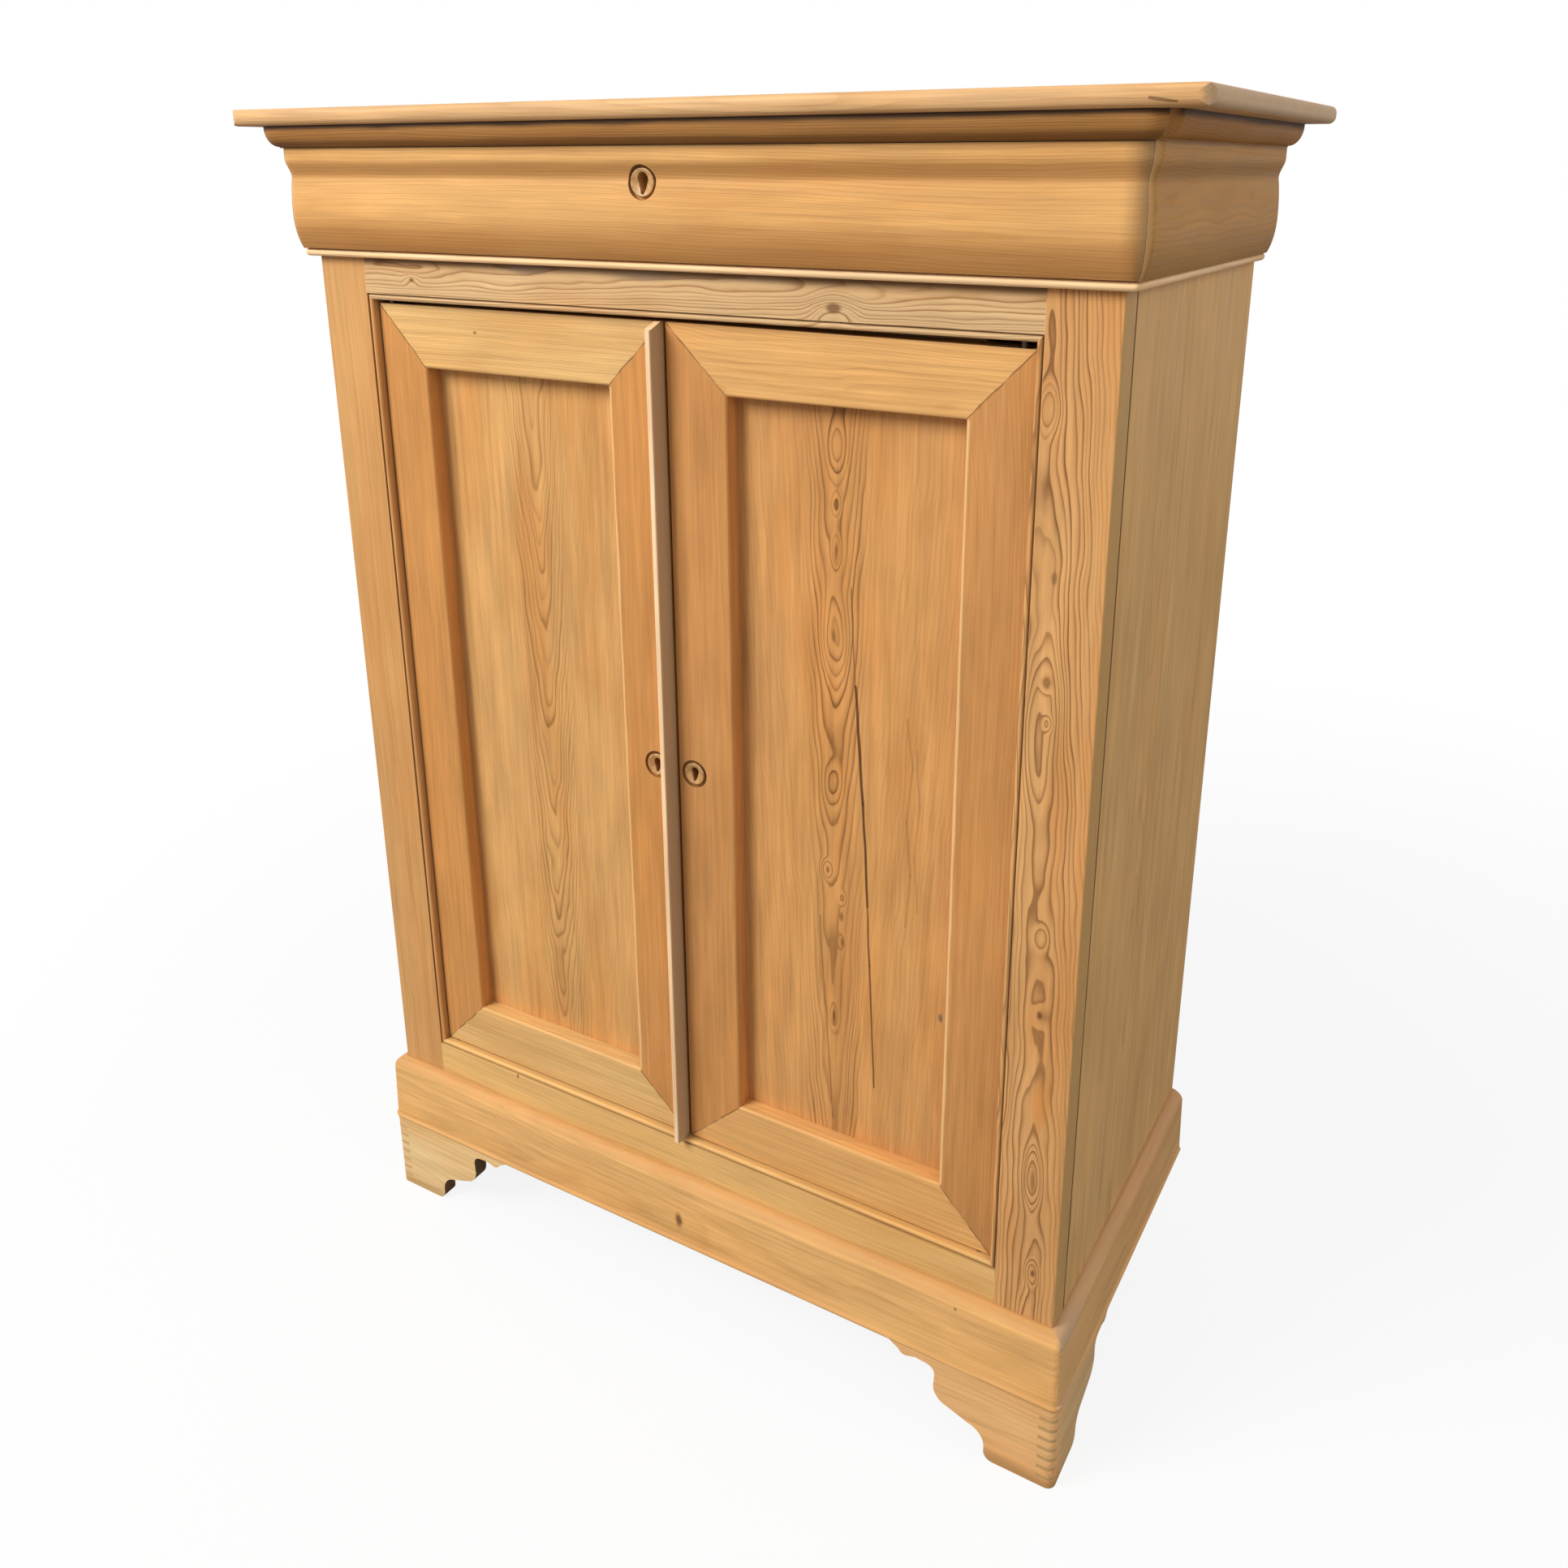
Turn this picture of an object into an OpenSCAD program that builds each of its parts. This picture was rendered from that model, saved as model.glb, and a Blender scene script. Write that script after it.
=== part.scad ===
// Two-door cupboard with one drawer hidden in a moulded cornice, in solid pine.
// Front towards -Y, up is +Z, origin on the floor under the middle of the overall box.

/* [Overall] */
// Width across the two side boards
carcass_w = 920; // [860:1:1000]
// Depth from the face frame to the back of the back boards
carcass_d = 446; // [410:1:500]
// Height from the floor to the top face
total_h = 1402; // [1370:1:1460]

/* [Top board] */
// Thickness of the top board
top_t = 17; // [15:0.5:24]
// Overhang of the top board past each side board
top_side_over = 66.5; // [55:0.5:80]
// Overhang of the top board past the face frame
top_front_over = 46; // [36:1:60]
// Rounding of the top board's corners in plan
top_corner_r = 12; // [6:1:18]

/* [Cornice] */
// Height of the quarter-round under the top board
ovolo_h = 22; // [18:0.5:28]
// Projection of the quarter-round past the side board
ovolo_out = 39; // [34:0.5:44]
// Height of the drawer front and the cornice sides that match it
doucine_h = 105; // [95:1:120]
// Projection of the flat band at the top of the drawer front
fascia_out = 24; // [22:0.5:30]
// Height of that flat band
fascia_h = 11; // [8:0.5:16]
// Height of the hollow between the flat band and the swell
valley_h = 19; // [14:0.5:24]
// Projection at the bottom of the hollow
valley_out = 18.5; // [15:0.5:20]
// Projection of the swell at its fullest
bulge_out = 21.5; // [20:0.5:26]
// Height of the fullest point above the drawer front's lower edge
bulge_h = 36; // [28:1:44]
// Projection of the swell at its lower edge
swell_foot = 14; // [13:0.5:17]
// Distance that the cornice's reference line sits behind the face frame
cornice_set = 1; // [0:0.5:6]
// Distance past the side board of the axis that the cornice's corners are rounded about
cornice_round = 7; // [3:0.5:11]
// Distance that the side mouldings stop short of the back
cornice_end = 11; // [2:1:20]
// Height of the bead under the drawer
bead_h = 8; // [6:0.5:10]
// Projection of that bead past the side board
bead_out = 12.5; // [11:0.5:14]
// Gap all round the drawer front
drawer_gap = 0.6; // [0.4:0.1:1.5]

/* [Face frame] */
// Thickness of the stiles and rails
frame_t = 29; // [26:0.5:34]
// Width of a stile with its bead
stile_w = 74; // [66:0.5:84]
// Height of the frieze rail above the doors
frieze_h = 52; // [46:1:70]
// Height of the bottom rail that shows above the plinth
rail_show = 50; // [40:1:60]
// Height of the bottom rail that is hidden behind the plinth
rail_hide = 50; // [30:1:80]
// Width of the bead worked on the opening's edge
stuck_bead = 5.5; // [4:0.5:8]
// Width of the sunk line beside the bead
quirk_w = 1.4; // [0.8:0.1:2.5]
// Wear on outer corners
arris = 2; // [0.8:0.1:3]
// Width of the shrunk joint between a stile and its side board
joint_gap = 1.2; // [0.4:0.1:2]
// Depth of that joint
joint_deep = 3; // [1:0.5:6]

/* [Plinth and feet] */
// Height of the feet under the plinth band
foot_h = 106; // [90:1:120]
// Height of the plinth band
plinth_h = 93; // [80:1:108]
// Projection of the plinth band past the carcass, at the foot of its face
plinth_out = 16.5; // [13:0.5:20]
// Distance that the face leans back up to its shoulder
plinth_lean = 2.2; // [0:0.1:4]
// Height of the rounded top of the band
plinth_crown = 14; // [9:0.5:18]
// Radius of the bead along the band's lower edge
plinth_bead = 4; // [3.5:0.25:6]
// Projection of that bead past the face
plinth_lip = 2; // [1:0.5:3.5]
// Rounding of the plinth's and feet's upright corners
corner_r = 9.5; // [5:0.5:11]
// Thickness of the bracket foot boards
foot_t = 20; // [16:0.5:26]
// Flat length of a bracket foot on the floor
foot_flat = 80; // [66:1:92]
// How long the scroll on the sides is against the one on the front
side_share = 0.88; // [0.8:0.02:1]
// Number of pins in the corner joint of a foot
pins = 7; // [4:1:8]
// Height of a pin
pin_h = 4.5; // [3:0.5:7]

/* [Sides and back] */
// Thickness of the side boards
side_t = 22; // [18:0.5:28]
// Width of the square rear posts
post_w = 40; // [32:1:50]
// Thickness of the back boards
back_t = 12; // [9:0.5:16]
// Number of back boards
back_n = 6; // [4:1:9]
// Overlap of one back board on the next
back_lap = 8; // [6:0.5:12]
// Height of a back rail
back_rail_h = 60; // [45:1:80]
// Thickness of a back rail
back_rail_t = 22; // [16:0.5:28]

/* [Inside] */
// Thickness of the floor board
floor_t = 18; // [15:0.5:24]
// Thickness of a shelf
shelf_t = 18; // [15:0.5:24]
// Number of shelves
shelf_n = 2; // [1:1:3]
// Distance from the face frame's face to a shelf's front edge
shelf_set = 78; // [70:1:120]
// Width and height of the cleats and drawer runners
cleat_w = 25; // [20:1:32]
// Thickness of the board under the drawer
dust_t = 7; // [5:0.5:10]
// Depth of the door stops
stop_d = 16; // [12:0.5:24]
// Height of the bottom door stop
stop_h = 12; // [8:0.5:18]
// Side of the square blocks behind the front feet
block_w = 42; // [32:1:55]
// Clearance of the foot blocks above the floor
block_lift = 4; // [2:0.5:10]

/* [Doors] */
// Thickness of a door frame
door_t = 30; // [26:0.5:34]
// Distance of the door face behind the face frame
door_set = 8.5; // [6:0.5:14]
// Gap beside the hinge stile
door_gap_side = 1.5; // [1.4:0.1:3]
// Gap between the two doors
door_gap_mid = 3; // [1.6:0.1:4]
// Gap under a door
door_gap_low = 1; // [0.8:0.1:4]
// Gap over a door
door_gap_top = 4; // [2:0.1:6]
// Drop of the right door's upper outer corner
door_drop = 3; // [0:0.5:4]
// Width of the hinge stile
hinge_stile_w = 63; // [56:1:76]
// Width of the meeting stile
meet_stile_w = 70; // [60:1:80]
// Height of a door's top rail
door_rail_top = 68; // [58:1:80]
// Height of a door's bottom rail
door_rail_low = 65; // [58:1:80]
// Wear on the inner edges of a door frame
door_arris = 3.5; // [1.5:0.5:4]
// Depth of the panel behind the door face
panel_set = 20; // [12:0.5:22]
// Thickness of the panel
panel_t = 7; // [5:0.5:8]
// Depth of the groove that holds the panel
groove_d = 8; // [6:0.5:12]
// Play of a panel in its groove, on each edge
panel_play = 1; // [0.5:0.1:2]
// Width of the batten over the joint of the doors
batten_w = 7.5; // [6:0.5:14]
// Projection of the batten from the door face
batten_d = 21; // [16:0.5:26]
// Height of the bevel at the batten's top end
batten_bevel = 7; // [0:0.5:12]

/* [Door pivots] */
// Distance of the pivot from the door's outer edge
pivot_in = 14; // [12:0.5:20]
// Distance of the pivot behind the door face
pivot_back = 6; // [5.5:0.5:7]
// Radius of a pivot pin
pivot_r = 3; // [2.5:0.25:3.5]
// Running clearance round a pivot pin
pivot_play = 0.05; // [0.03:0.01:0.08]
// Thickness of a pivot plate
plate_t = 3; // [2:0.5:4]
// Width of a pivot plate
plate_w = 9; // [8:0.5:10]
// Length of a pivot plate
plate_l = 42; // [34:1:50]
// Depth that a pin reaches into its socket
pin_deep = 7; // [5:0.5:9]

/* [Drawer] */
// Thickness of the drawer sides and back
drawer_side_t = 12; // [10:0.5:16]
// Height of the drawer sides
drawer_side_h = 98; // [80:1:99]
// Thickness of the drawer bottom
drawer_floor_t = 8; // [6:0.5:10]
// Height of the drawer bottom above the side's lower edge
drawer_floor_up = 7; // [5:0.5:12]
// Depth of the housings for the drawer sides and bottom
housing = 6; // [4:0.5:8]
// Play beside the drawer box
drawer_play = 1.5; // [1:0.1:3]
// Play between a runner and the drawer side that slides on it
slide_play = 0.3; // [0.2:0.1:0.6]

/* [Locks and keyholes] */
// Height of the door keyholes above the floor
key_z = 724; // [680:1:780]
// Distance of the right keyhole from the joint of the doors
key_x_right = 21; // [20:0.5:32]
// Distance of the left keyhole from the joint of the doors
key_x_left = 28; // [26:0.5:36]
// Radius of a door's keyhole ring
ring_r = 12.5; // [11:0.5:14]
// Radius of the drawer's keyhole ring
drawer_ring_r = 13.5; // [12:0.5:15]
// Width of the sunk space round a door's ring
ring_gap = 3.5; // [1:0.25:4]
// Width of the sunk space round the drawer's ring
drawer_ring_gap = 2.5; // [1:0.25:3.5]
// Thickness of a ring at its rim
ring_t = 4.5; // [3:0.25:6]
// Height of the drawer keyhole above the drawer front's lower edge
drawer_key_h = 72; // [66:1:78]
// Length of a lock case across the door
lock_w = 46; // [40:1:54]
// Height of a lock case
lock_h = 66; // [56:1:76]
// Depth of a lock case
lock_t = 13; // [11:0.5:15]
// Travel of a lock bolt
bolt_throw = 11; // [7:0.5:13]
// Thickness of a lock bolt
bolt_t = 7; // [5:0.5:8]
// Radius of the slide bolt on the left door
rod_r = 4; // [3:0.25:5]
// Travel of that slide bolt
rod_throw = 14; // [10:0.5:16]
// Length of that slide bolt
rod_l = 96; // [80:1:120]

/* [Hidden] */

// Colours of the woods and metals
honey = "#d79a5c";
orange = "#cf8f52";
pale = "#dfb47c";
raw = "#c9a778";
boxwood = "#d9b48c";
iron = "#6d6459";

// The part is drawn with the face frame's face at y = 0, then moved to the middle of its box
front_y = (top_front_over - carcass_d) / 2;
half_w = carcass_w / 2;
inner_w = half_w - side_t;
cut = 0.5;

// Heights
z_top = total_h - top_t;
z_ovolo = z_top - ovolo_h;
z_swell = z_ovolo - doucine_h;
z_bead = z_swell - bead_h;
frame_z1 = z_swell - 1;
open_z1 = frame_z1 - frieze_h;
plinth_z = foot_h + plinth_h;
open_z0 = plinth_z + rail_show;
runner_z = z_swell + 1;
drawer_z = runner_z + slide_play;
drawer_top = z_ovolo - drawer_gap;
drawer_front_z = z_swell + drawer_gap;
drawer_key_z = z_swell + drawer_key_h;

// Face frame and doors, in front view
open_x = half_w - stile_w;
mitre = stuck_bead + quirk_w;
door_x0 = door_gap_mid / 2;
door_x1 = open_x - door_gap_side;
door_z0 = open_z0 + door_gap_low;
door_z1 = open_z1 - door_gap_top;
panel_x0 = door_x0 + meet_stile_w;
panel_x1 = door_x1 - hinge_stile_w;
panel_z0 = door_z0 + door_rail_low;
panel_z1 = door_z1 - door_rail_top;
door_back = door_set + door_t;
stop_y = door_back + 0.5;
stop_x = open_x - 2 * door_t;
pivot_x = door_x1 - pivot_in;
pivot_y = door_set + pivot_back;
plate_x = pivot_x + 8 - plate_l;
cup_r = pivot_r + 2.5;
cup_h = pin_deep + 3;
cup_play = 0.3;

// Back
post_x = inner_w - post_w;
back_y = carcass_d - back_t;
post_y = back_y - post_w;
shelf_front = shelf_set;
shelf_gap = (open_z1 - open_z0 - shelf_n * shelf_t) / (shelf_n + 1);

// Drawer box
drawer_back_y = frame_t - 1;
drawer_x = inner_w - drawer_play;
drawer_end = post_y - 6;
drawer_in = drawer_x - drawer_side_t;

// Plan of the plinth and feet
foot_out = plinth_out;
foot_len = foot_flat + 117;

// Points on an arc about c, on an ellipse about c, and one outline mirrored left to right
function arc(c, r, a, b, n = 8) =
    [for (i = [0:n]) let (t = a + (b - a) * i / n) [c[0] + r * cos(t), c[1] + r * sin(t)]];
function oval(c, rx, ry, a, b, n = 12) =
    [for (i = [0:n]) let (t = a + (b - a) * i / n) [c[0] + rx * cos(t), c[1] + ry * sin(t)]];
function flip(pts) = [for (i = [len(pts) - 1:-1:0]) [-pts[i][0], pts[i][1]]];

// Outline rounded to a hundredth of a millimetre, so that a run and its turned corner agree
function snap(pts) = [for (q = pts) [round(q[0] * 100) / 100, round(q[1] * 100) / 100]];

// Swelling profile of the drawer front and cornice sides: [projection, height], bottom to top
swell_a = 18;
swell_c = bulge_out - swell_a;
swell_low = bulge_h / sqrt(1 - pow((swell_foot - swell_c) / swell_a, 2));
valley_z = doucine_h - fascia_h - valley_h;
swell_up = (valley_z - bulge_h) / sqrt(1 - pow((valley_out - swell_c) / swell_a, 2));
function swell_pts() = snap(concat(
    [for (i = [0:10]) let (h = bulge_h * i / 10)
        [swell_c + swell_a * sqrt(1 - pow((bulge_h - h) / swell_low, 2)), z_swell + h]],
    [for (i = [1:10]) let (h = (valley_z - bulge_h) * i / 10)
        [swell_c + swell_a * sqrt(1 - pow(h / swell_up, 2)), z_swell + bulge_h + h]],
    [for (i = [1:8]) let (t = 180 * i / 8)
        [valley_out + (fascia_out - valley_out) * (1 - cos(t)) / 2,
            z_swell + valley_z + valley_h * i / 8]],
    [[fascia_out, z_ovolo]]));

// Quarter-round under the top board
function ovolo_pts() = snap(concat([[fascia_out + 0.5, z_ovolo]],
    oval([fascia_out + 1, z_top - 2], ovolo_out - fascia_out - 1, ovolo_h - 3, -90, 0, 10),
    [[ovolo_out, z_top]]));

// Bead under the drawer
function bead_pts() = snap(concat([[0, z_bead]],
    arc([bead_out - bead_h / 2, z_bead + bead_h / 2], bead_h / 2, -90, 90, 10),
    [[0, z_swell]]));

// Plinth band: bead at the foot, face that leans back a little, rounded top. One point of
// the top lies over the axis of the corner, where the turned corner ends
plinth_round = plinth_out - corner_r;
face_low = foot_h + 2 * plinth_bead + 1;
shoulder_z = plinth_z - plinth_crown;
crown_c = -2;
crown_x = plinth_out - plinth_lean - crown_c;
crown_end = acos(-crown_c / crown_x);
crown_turn = acos((plinth_round + 0.05 - crown_c) / crown_x);
crown_z = plinth_crown / sin(crown_end);
function crown_pts(a, b, n) =
    [for (i = [1:n]) oval([crown_c, shoulder_z], crown_x, crown_z, a, b, n)[i]];
function plinth_pts() = snap(concat([[0, foot_h]],
    arc([plinth_out + plinth_lip - plinth_bead, foot_h + plinth_bead], plinth_bead,
        -90, acos(1 - plinth_lip / plinth_bead), 9),
    [[plinth_out, face_low], [plinth_out - plinth_lean, shoulder_z]],
    crown_pts(0, crown_turn, 7), crown_pts(crown_turn, crown_end, 4)));

// A moulding that runs round the front and both sides. pts are [projection past the side
// board, height]; set is how far its corner reference sits behind the face frame; round is
// the distance from that reference to the axis that the corner is turned about; gap moves
// the corner inwards, for a front that has to come out past its neighbours.
module front_run(pts, set, round, back, gap = 0) {
    far = half_w + round - gap;
    rotate([90, 0, 90]) translate([0, 0, -far])
        linear_extrude(2 * far)
            polygon(concat([for (q = pts) [set - q[0], q[1]]],
                [[back, pts[len(pts) - 1][1]], [back, pts[0][1]]]));
}

module corner_turn(pts, set, round, gap = 0) {
    kept = [for (q = pts) if (q[0] > round + 0.01) [q[0] - round, q[1]]];
    translate([half_w + round - gap, set - round, 0]) rotate([0, 0, -90])
        rotate_extrude(angle = 90, $fn = 96)
            polygon(concat(kept, [[0, kept[len(kept) - 1][1]], [0, kept[0][1]]]));
}

module side_run(pts, set, round, end) {
    last = len(pts) - 1;
    translate([0, carcass_d - end, 0]) rotate([90, 0, 0])
        linear_extrude(carcass_d - end - set + round)
            polygon(concat([for (q = pts) [half_w + q[0], q[1]]],
                [[half_w, pts[last][1]], [half_w, pts[0][1]]]));
}

// Plan areas that the mitres leave to the front and to the right-hand side
module front_area(set, back, z0, z1, gap) {
    reach = 80;
    edge = half_w - gap;
    right = concat([[edge + reach, set - reach]],
        back > set ? [[edge, set], [edge, back]] : [[edge + set - back, back]]);
    translate([0, 0, z0]) linear_extrude(z1 - z0) polygon(concat(right, flip(right)));
}

module side_area(set, z0, z1) {
    reach = 80;
    translate([0, 0, z0]) linear_extrude(z1 - z0)
        polygon([[half_w, set], [half_w + reach, set - reach],
            [half_w + reach, carcass_d], [half_w, carcass_d]]);
}

// Front piece of such a moulding, and the piece on the right-hand side
module front_piece(pts, set, round, back, z0, z1, gap = 0) {
    intersection() {
        union() {
            front_run(pts, set, round, back, gap);
            for (s = [0, 1])
                mirror([s, 0, 0]) corner_turn(pts, set, round, gap);
        }
        front_area(set, back, z0, z1, gap);
    }
}

module side_piece(pts, set, round, z0, z1, end) {
    intersection() {
        union() {
            side_run(pts, set, round, end);
            corner_turn(pts, set, round);
        }
        side_area(set, z0, z1);
    }
}

module on_left() { mirror([1, 0, 0]) children(); }

module block(x0, x1, y0, y1, z0, z1) {
    translate([x0, y0, z0]) cube([x1 - x0, y1 - y0, z1 - z0]);
}

// Prism of a front-view outline, through the depth y0 to y1
module front_prism(pts, y0, y1) {
    translate([0, y1, 0]) rotate([90, 0, 0]) linear_extrude(y1 - y0) polygon(pts);
}

// Top board with rounded edges and worn corners
module top_board() {
    r = top_corner_r;
    w = half_w + top_side_over;
    soft = 0.4 * top_t;
    color(honey) intersection() {
        translate([0, 0, z_top]) linear_extrude(top_t)
            polygon(concat(arc([w - r, -top_front_over + r], r, -90, 0),
                [[w, carcass_d], [-w, carcass_d]], arc([-w + r, -top_front_over + r], r, 180, 270)));
        rotate([90, 0, 90]) translate([0, 0, -w]) linear_extrude(2 * w)
            polygon(concat(arc([-top_front_over + soft, z_top + soft], soft, 180, 270, 6),
                [[carcass_d, z_top], [carcass_d, z_top + top_t]],
                arc([-top_front_over + soft, z_top + top_t - soft], soft, 90, 180, 6)));
        translate([0, carcass_d, 0]) rotate([90, 0, 0]) linear_extrude(carcass_d + top_front_over)
            polygon(concat(arc([w - soft, z_top + soft], soft, -90, 0, 6),
                arc([w - soft, z_top + top_t - soft], soft, 0, 90, 6),
                arc([-w + soft, z_top + top_t - soft], soft, 90, 180, 6),
                arc([-w + soft, z_top + soft], soft, 180, 270, 6)));
    }
}

// Quarter-round mouldings; the front one is also the rail over the drawer
ovolo_round = 14;
module top_moulding_front() {
    color(honey) difference() {
        front_piece(ovolo_pts(), cornice_set, ovolo_round, frame_t, z_ovolo, z_top);
        block(-lock_bolt_w / 2 - 1, lock_bolt_w / 2 + 1, lock_bolt_y - 1, lock_bolt_y + bolt_t + 1,
            z_ovolo - cut, z_ovolo + bolt_throw + 2);
    }
}

module top_moulding_right() {
    color(honey) side_piece(ovolo_pts(), cornice_set, ovolo_round, z_ovolo, z_top, cornice_end);
}

// Cornice sides, with the same swelling profile as the drawer front
module cornice_right() {
    color(honey)
        side_piece(swell_pts(), cornice_set, cornice_round, z_swell, z_ovolo, cornice_end);
}

// Bead under the drawer
bead_set = 1.6;
bead_round = bead_out - 4.5;
module bead_front() {
    color(pale) front_piece(bead_pts(), bead_set, bead_round, 0, z_bead, z_swell);
}

module bead_right() {
    color(pale) union() {
        side_piece(bead_pts(), bead_set, bead_round, z_bead, z_swell, cornice_end);
        block(half_w, half_w + bead_set, 0, bead_set, z_bead, z_swell);
    }
}

// Stile with the bead of the opening worked on its inner edge; the bead is mitred
bead_r = stuck_bead / 2;
function stile_pts() = concat(
    arc([open_x + bead_r, bead_r], bead_r, 180, 360, 10),
    [[open_x + mitre, bead_r], [open_x + mitre, 0]],
    arc([half_w - arris, arris], arris, 270, 360, 4),
    [[half_w, frame_t - 0.5], [half_w - 0.5, frame_t], [open_x, frame_t]]);

module stile_right() {
    inner = open_x + mitre;
    color(honey) intersection() {
        translate([0, 0, foot_h]) linear_extrude(frame_z1 - foot_h) polygon(stile_pts());
        front_prism([[inner, foot_h], [half_w, foot_h], [half_w, frame_z1], [inner, frame_z1],
            [inner, open_z1 + mitre], [open_x, open_z1], [open_x, open_z0],
            [inner, open_z0 - mitre]], 0, frame_t);
    }
}

// Rails between the stiles. rail_pts is [depth, height above the opening's edge]
function rail_pts(h) = concat(
    [[bead_r, 0]], arc([bead_r, bead_r], bead_r, 270, 90, 10),
    [[bead_r, mitre], [0, mitre], [0, h], [frame_t, h], [frame_t, 0]]);

module socket_seats(z, up) {
    for (s = [0, 1])
        mirror([s, 0, 0]) translate([0, 0, z]) mirror([0, 0, up ? 0 : 1]) {
            block(plate_x, plate_x + plate_l, pivot_y - plate_w / 2, pivot_y + plate_w / 2,
                -cut, plate_t);
            translate([pivot_x, pivot_y, -cut])
                cylinder(r = cup_r + cup_play, h = cup_h + 0.5 + cut, $fn = 40);
        }
}

module frieze_rail() {
    inner = open_x + mitre;
    color(honey) difference() {
        intersection() {
            translate([-inner, 0, open_z1]) rotate([90, 0, 90])
                linear_extrude(2 * inner) polygon(rail_pts(frieze_h));
            front_prism([[-inner, frame_z1], [inner, frame_z1], [inner, open_z1 + mitre],
                [open_x, open_z1], [-open_x, open_z1], [-inner, open_z1 + mitre]], 0, frame_t);
        }
        socket_seats(open_z1, true);
    }
}

module bottom_rail() {
    inner = open_x + mitre;
    h = rail_show + rail_hide;
    color(honey) difference() {
        intersection() {
            translate([-inner, 0, open_z0]) rotate([90, 0, 90]) linear_extrude(2 * inner)
                mirror([0, 1]) polygon(rail_pts(h));
            front_prism([[-inner, open_z0 - h], [inner, open_z0 - h], [inner, open_z0 - mitre],
                [open_x, open_z0], [-open_x, open_z0], [-inner, open_z0 - mitre]], 0, frame_t);
        }
        socket_seats(open_z0, false);
    }
}

// Side board; its front edge has shrunk away from the stile along the face
module side_right() {
    y = frame_t + joint_gap;
    color(raw) translate([0, 0, foot_h]) linear_extrude(z_top - foot_h)
        polygon([[inner_w, frame_t], [half_w - joint_deep, frame_t], [half_w - joint_deep, y],
            [half_w - 0.5, y], [half_w, y + 0.5], [half_w, carcass_d], [inner_w, carcass_d]]);
}

module back_post_right() {
    color(raw) block(post_x, inner_w, post_y, back_y, 0, z_top);
}

module back_rails() {
    y = back_y - back_rail_t;
    color(raw) for (z = [open_z0 - floor_t - back_rail_h, open_z1, z_top - back_rail_h])
        block(-post_x, post_x, y, back_y, z, z + back_rail_h);
}

// Back boards, lapped one over the next: the front half of a board ends at its right edge,
// and its rear half is set over to the left by the lap
module back_boards() {
    pitch = 2 * inner_w / back_n;
    half = back_t / 2;
    play = 0.3;
    color(raw) for (i = [0:back_n - 1]) {
        x0 = -inner_w + i * pitch;
        x1 = x0 + pitch - (i == back_n - 1 ? 0 : 1);
        left = x0 - (i == 0 ? 0 : back_lap);
        right = x1 - (i == back_n - 1 ? 0 : back_lap);
        translate([0, 0, foot_h]) linear_extrude(z_top - foot_h)
            polygon(concat(
                i == 0 ? [[x0, back_y]] : [[x0, back_y], [x0, back_y + half], [left, back_y + half]],
                [[left, carcass_d], [right, carcass_d]],
                i == back_n - 1 ? [[x1, back_y]]
                    : [[right, back_y + half - play], [x1, back_y + half - play], [x1, back_y]]));
    }
}

module post_notches(z0, z1) {
    for (s = [0, 1])
        mirror([s, 0, 0])
            block(post_x, inner_w + cut, post_y, back_y + cut, z0 - cut, z1 + cut);
}

module floor_board() {
    color(raw) difference() {
        block(-inner_w, inner_w, frame_t, back_y, open_z0 - floor_t, open_z0);
        post_notches(open_z0 - floor_t, open_z0);
    }
}

function shelf_z(i) = open_z0 + (i + 1) * shelf_gap + i * shelf_t;

module shelves() {
    color(raw) for (i = [0:shelf_n - 1])
        difference() {
            block(-inner_w, inner_w, shelf_front, back_y, shelf_z(i), shelf_z(i) + shelf_t);
            post_notches(shelf_z(i), shelf_z(i) + shelf_t);
        }
}

// Cleats under the floor board and shelves, and the blocks behind the front feet
module cleats() {
    levels = concat([[open_z0 - floor_t, frame_t]],
        [for (i = [0:shelf_n - 1]) [shelf_z(i), shelf_front]]);
    color(raw) for (s = [0, 1])
        mirror([s, 0, 0]) {
            for (q = levels)
                block(inner_w - cleat_w, inner_w, q[1], post_y, q[0] - cleat_w, q[0]);
            block(half_w + foot_out - foot_t - block_w, half_w + foot_out - foot_t,
                foot_t - foot_out, foot_t - foot_out + block_w, block_lift, foot_h);
        }
}

// Board under the drawer, held in grooves of the runners
dust_z = runner_z - cleat_w / 2 - dust_t / 2;
dust_in = 8;
module dust_board() {
    edge = inner_w - cleat_w + dust_in;
    color(raw) block(-edge, edge, frame_t, post_y, dust_z, dust_z + dust_t);
}

// Runners under the drawer sides and kickers over them
module drawer_runners() {
    color(raw) for (s = [0, 1])
        mirror([s, 0, 0]) {
            difference() {
                block(inner_w - cleat_w, inner_w, frame_t, post_y, runner_z - cleat_w, runner_z);
                block(inner_w - cleat_w - cut, inner_w - cleat_w + dust_in, frame_t - cut,
                    post_y + cut, dust_z, dust_z + dust_t);
            }
            block(inner_w - cleat_w, inner_w, frame_t, post_y, z_top - cleat_w, z_top);
        }
}

// Strips that the doors close against
module door_stops() {
    top_stop = 18;
    color(raw) {
        difference() {
            block(-stop_x, stop_x, stop_y, stop_y + 1.5 * stop_d, open_z1 - top_stop, dust_z);
            translate([-rod_x, rod_y, open_z1 - top_stop - cut])
                cylinder(r = rod_r + 1, h = rod_throw + 6 + cut, $fn = 40);
        }
        block(-stop_x, stop_x, stop_y, stop_y + stop_d, open_z0, open_z0 + stop_h);
    }
}

// Plinth band
module plinth_front() {
    color(honey) front_piece(plinth_pts(), 0, plinth_round, 0, foot_h, plinth_z);
}

module plinth_right() {
    color(raw) side_piece(plinth_pts(), 0, plinth_round, foot_h, plinth_z, 0);
}

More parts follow.
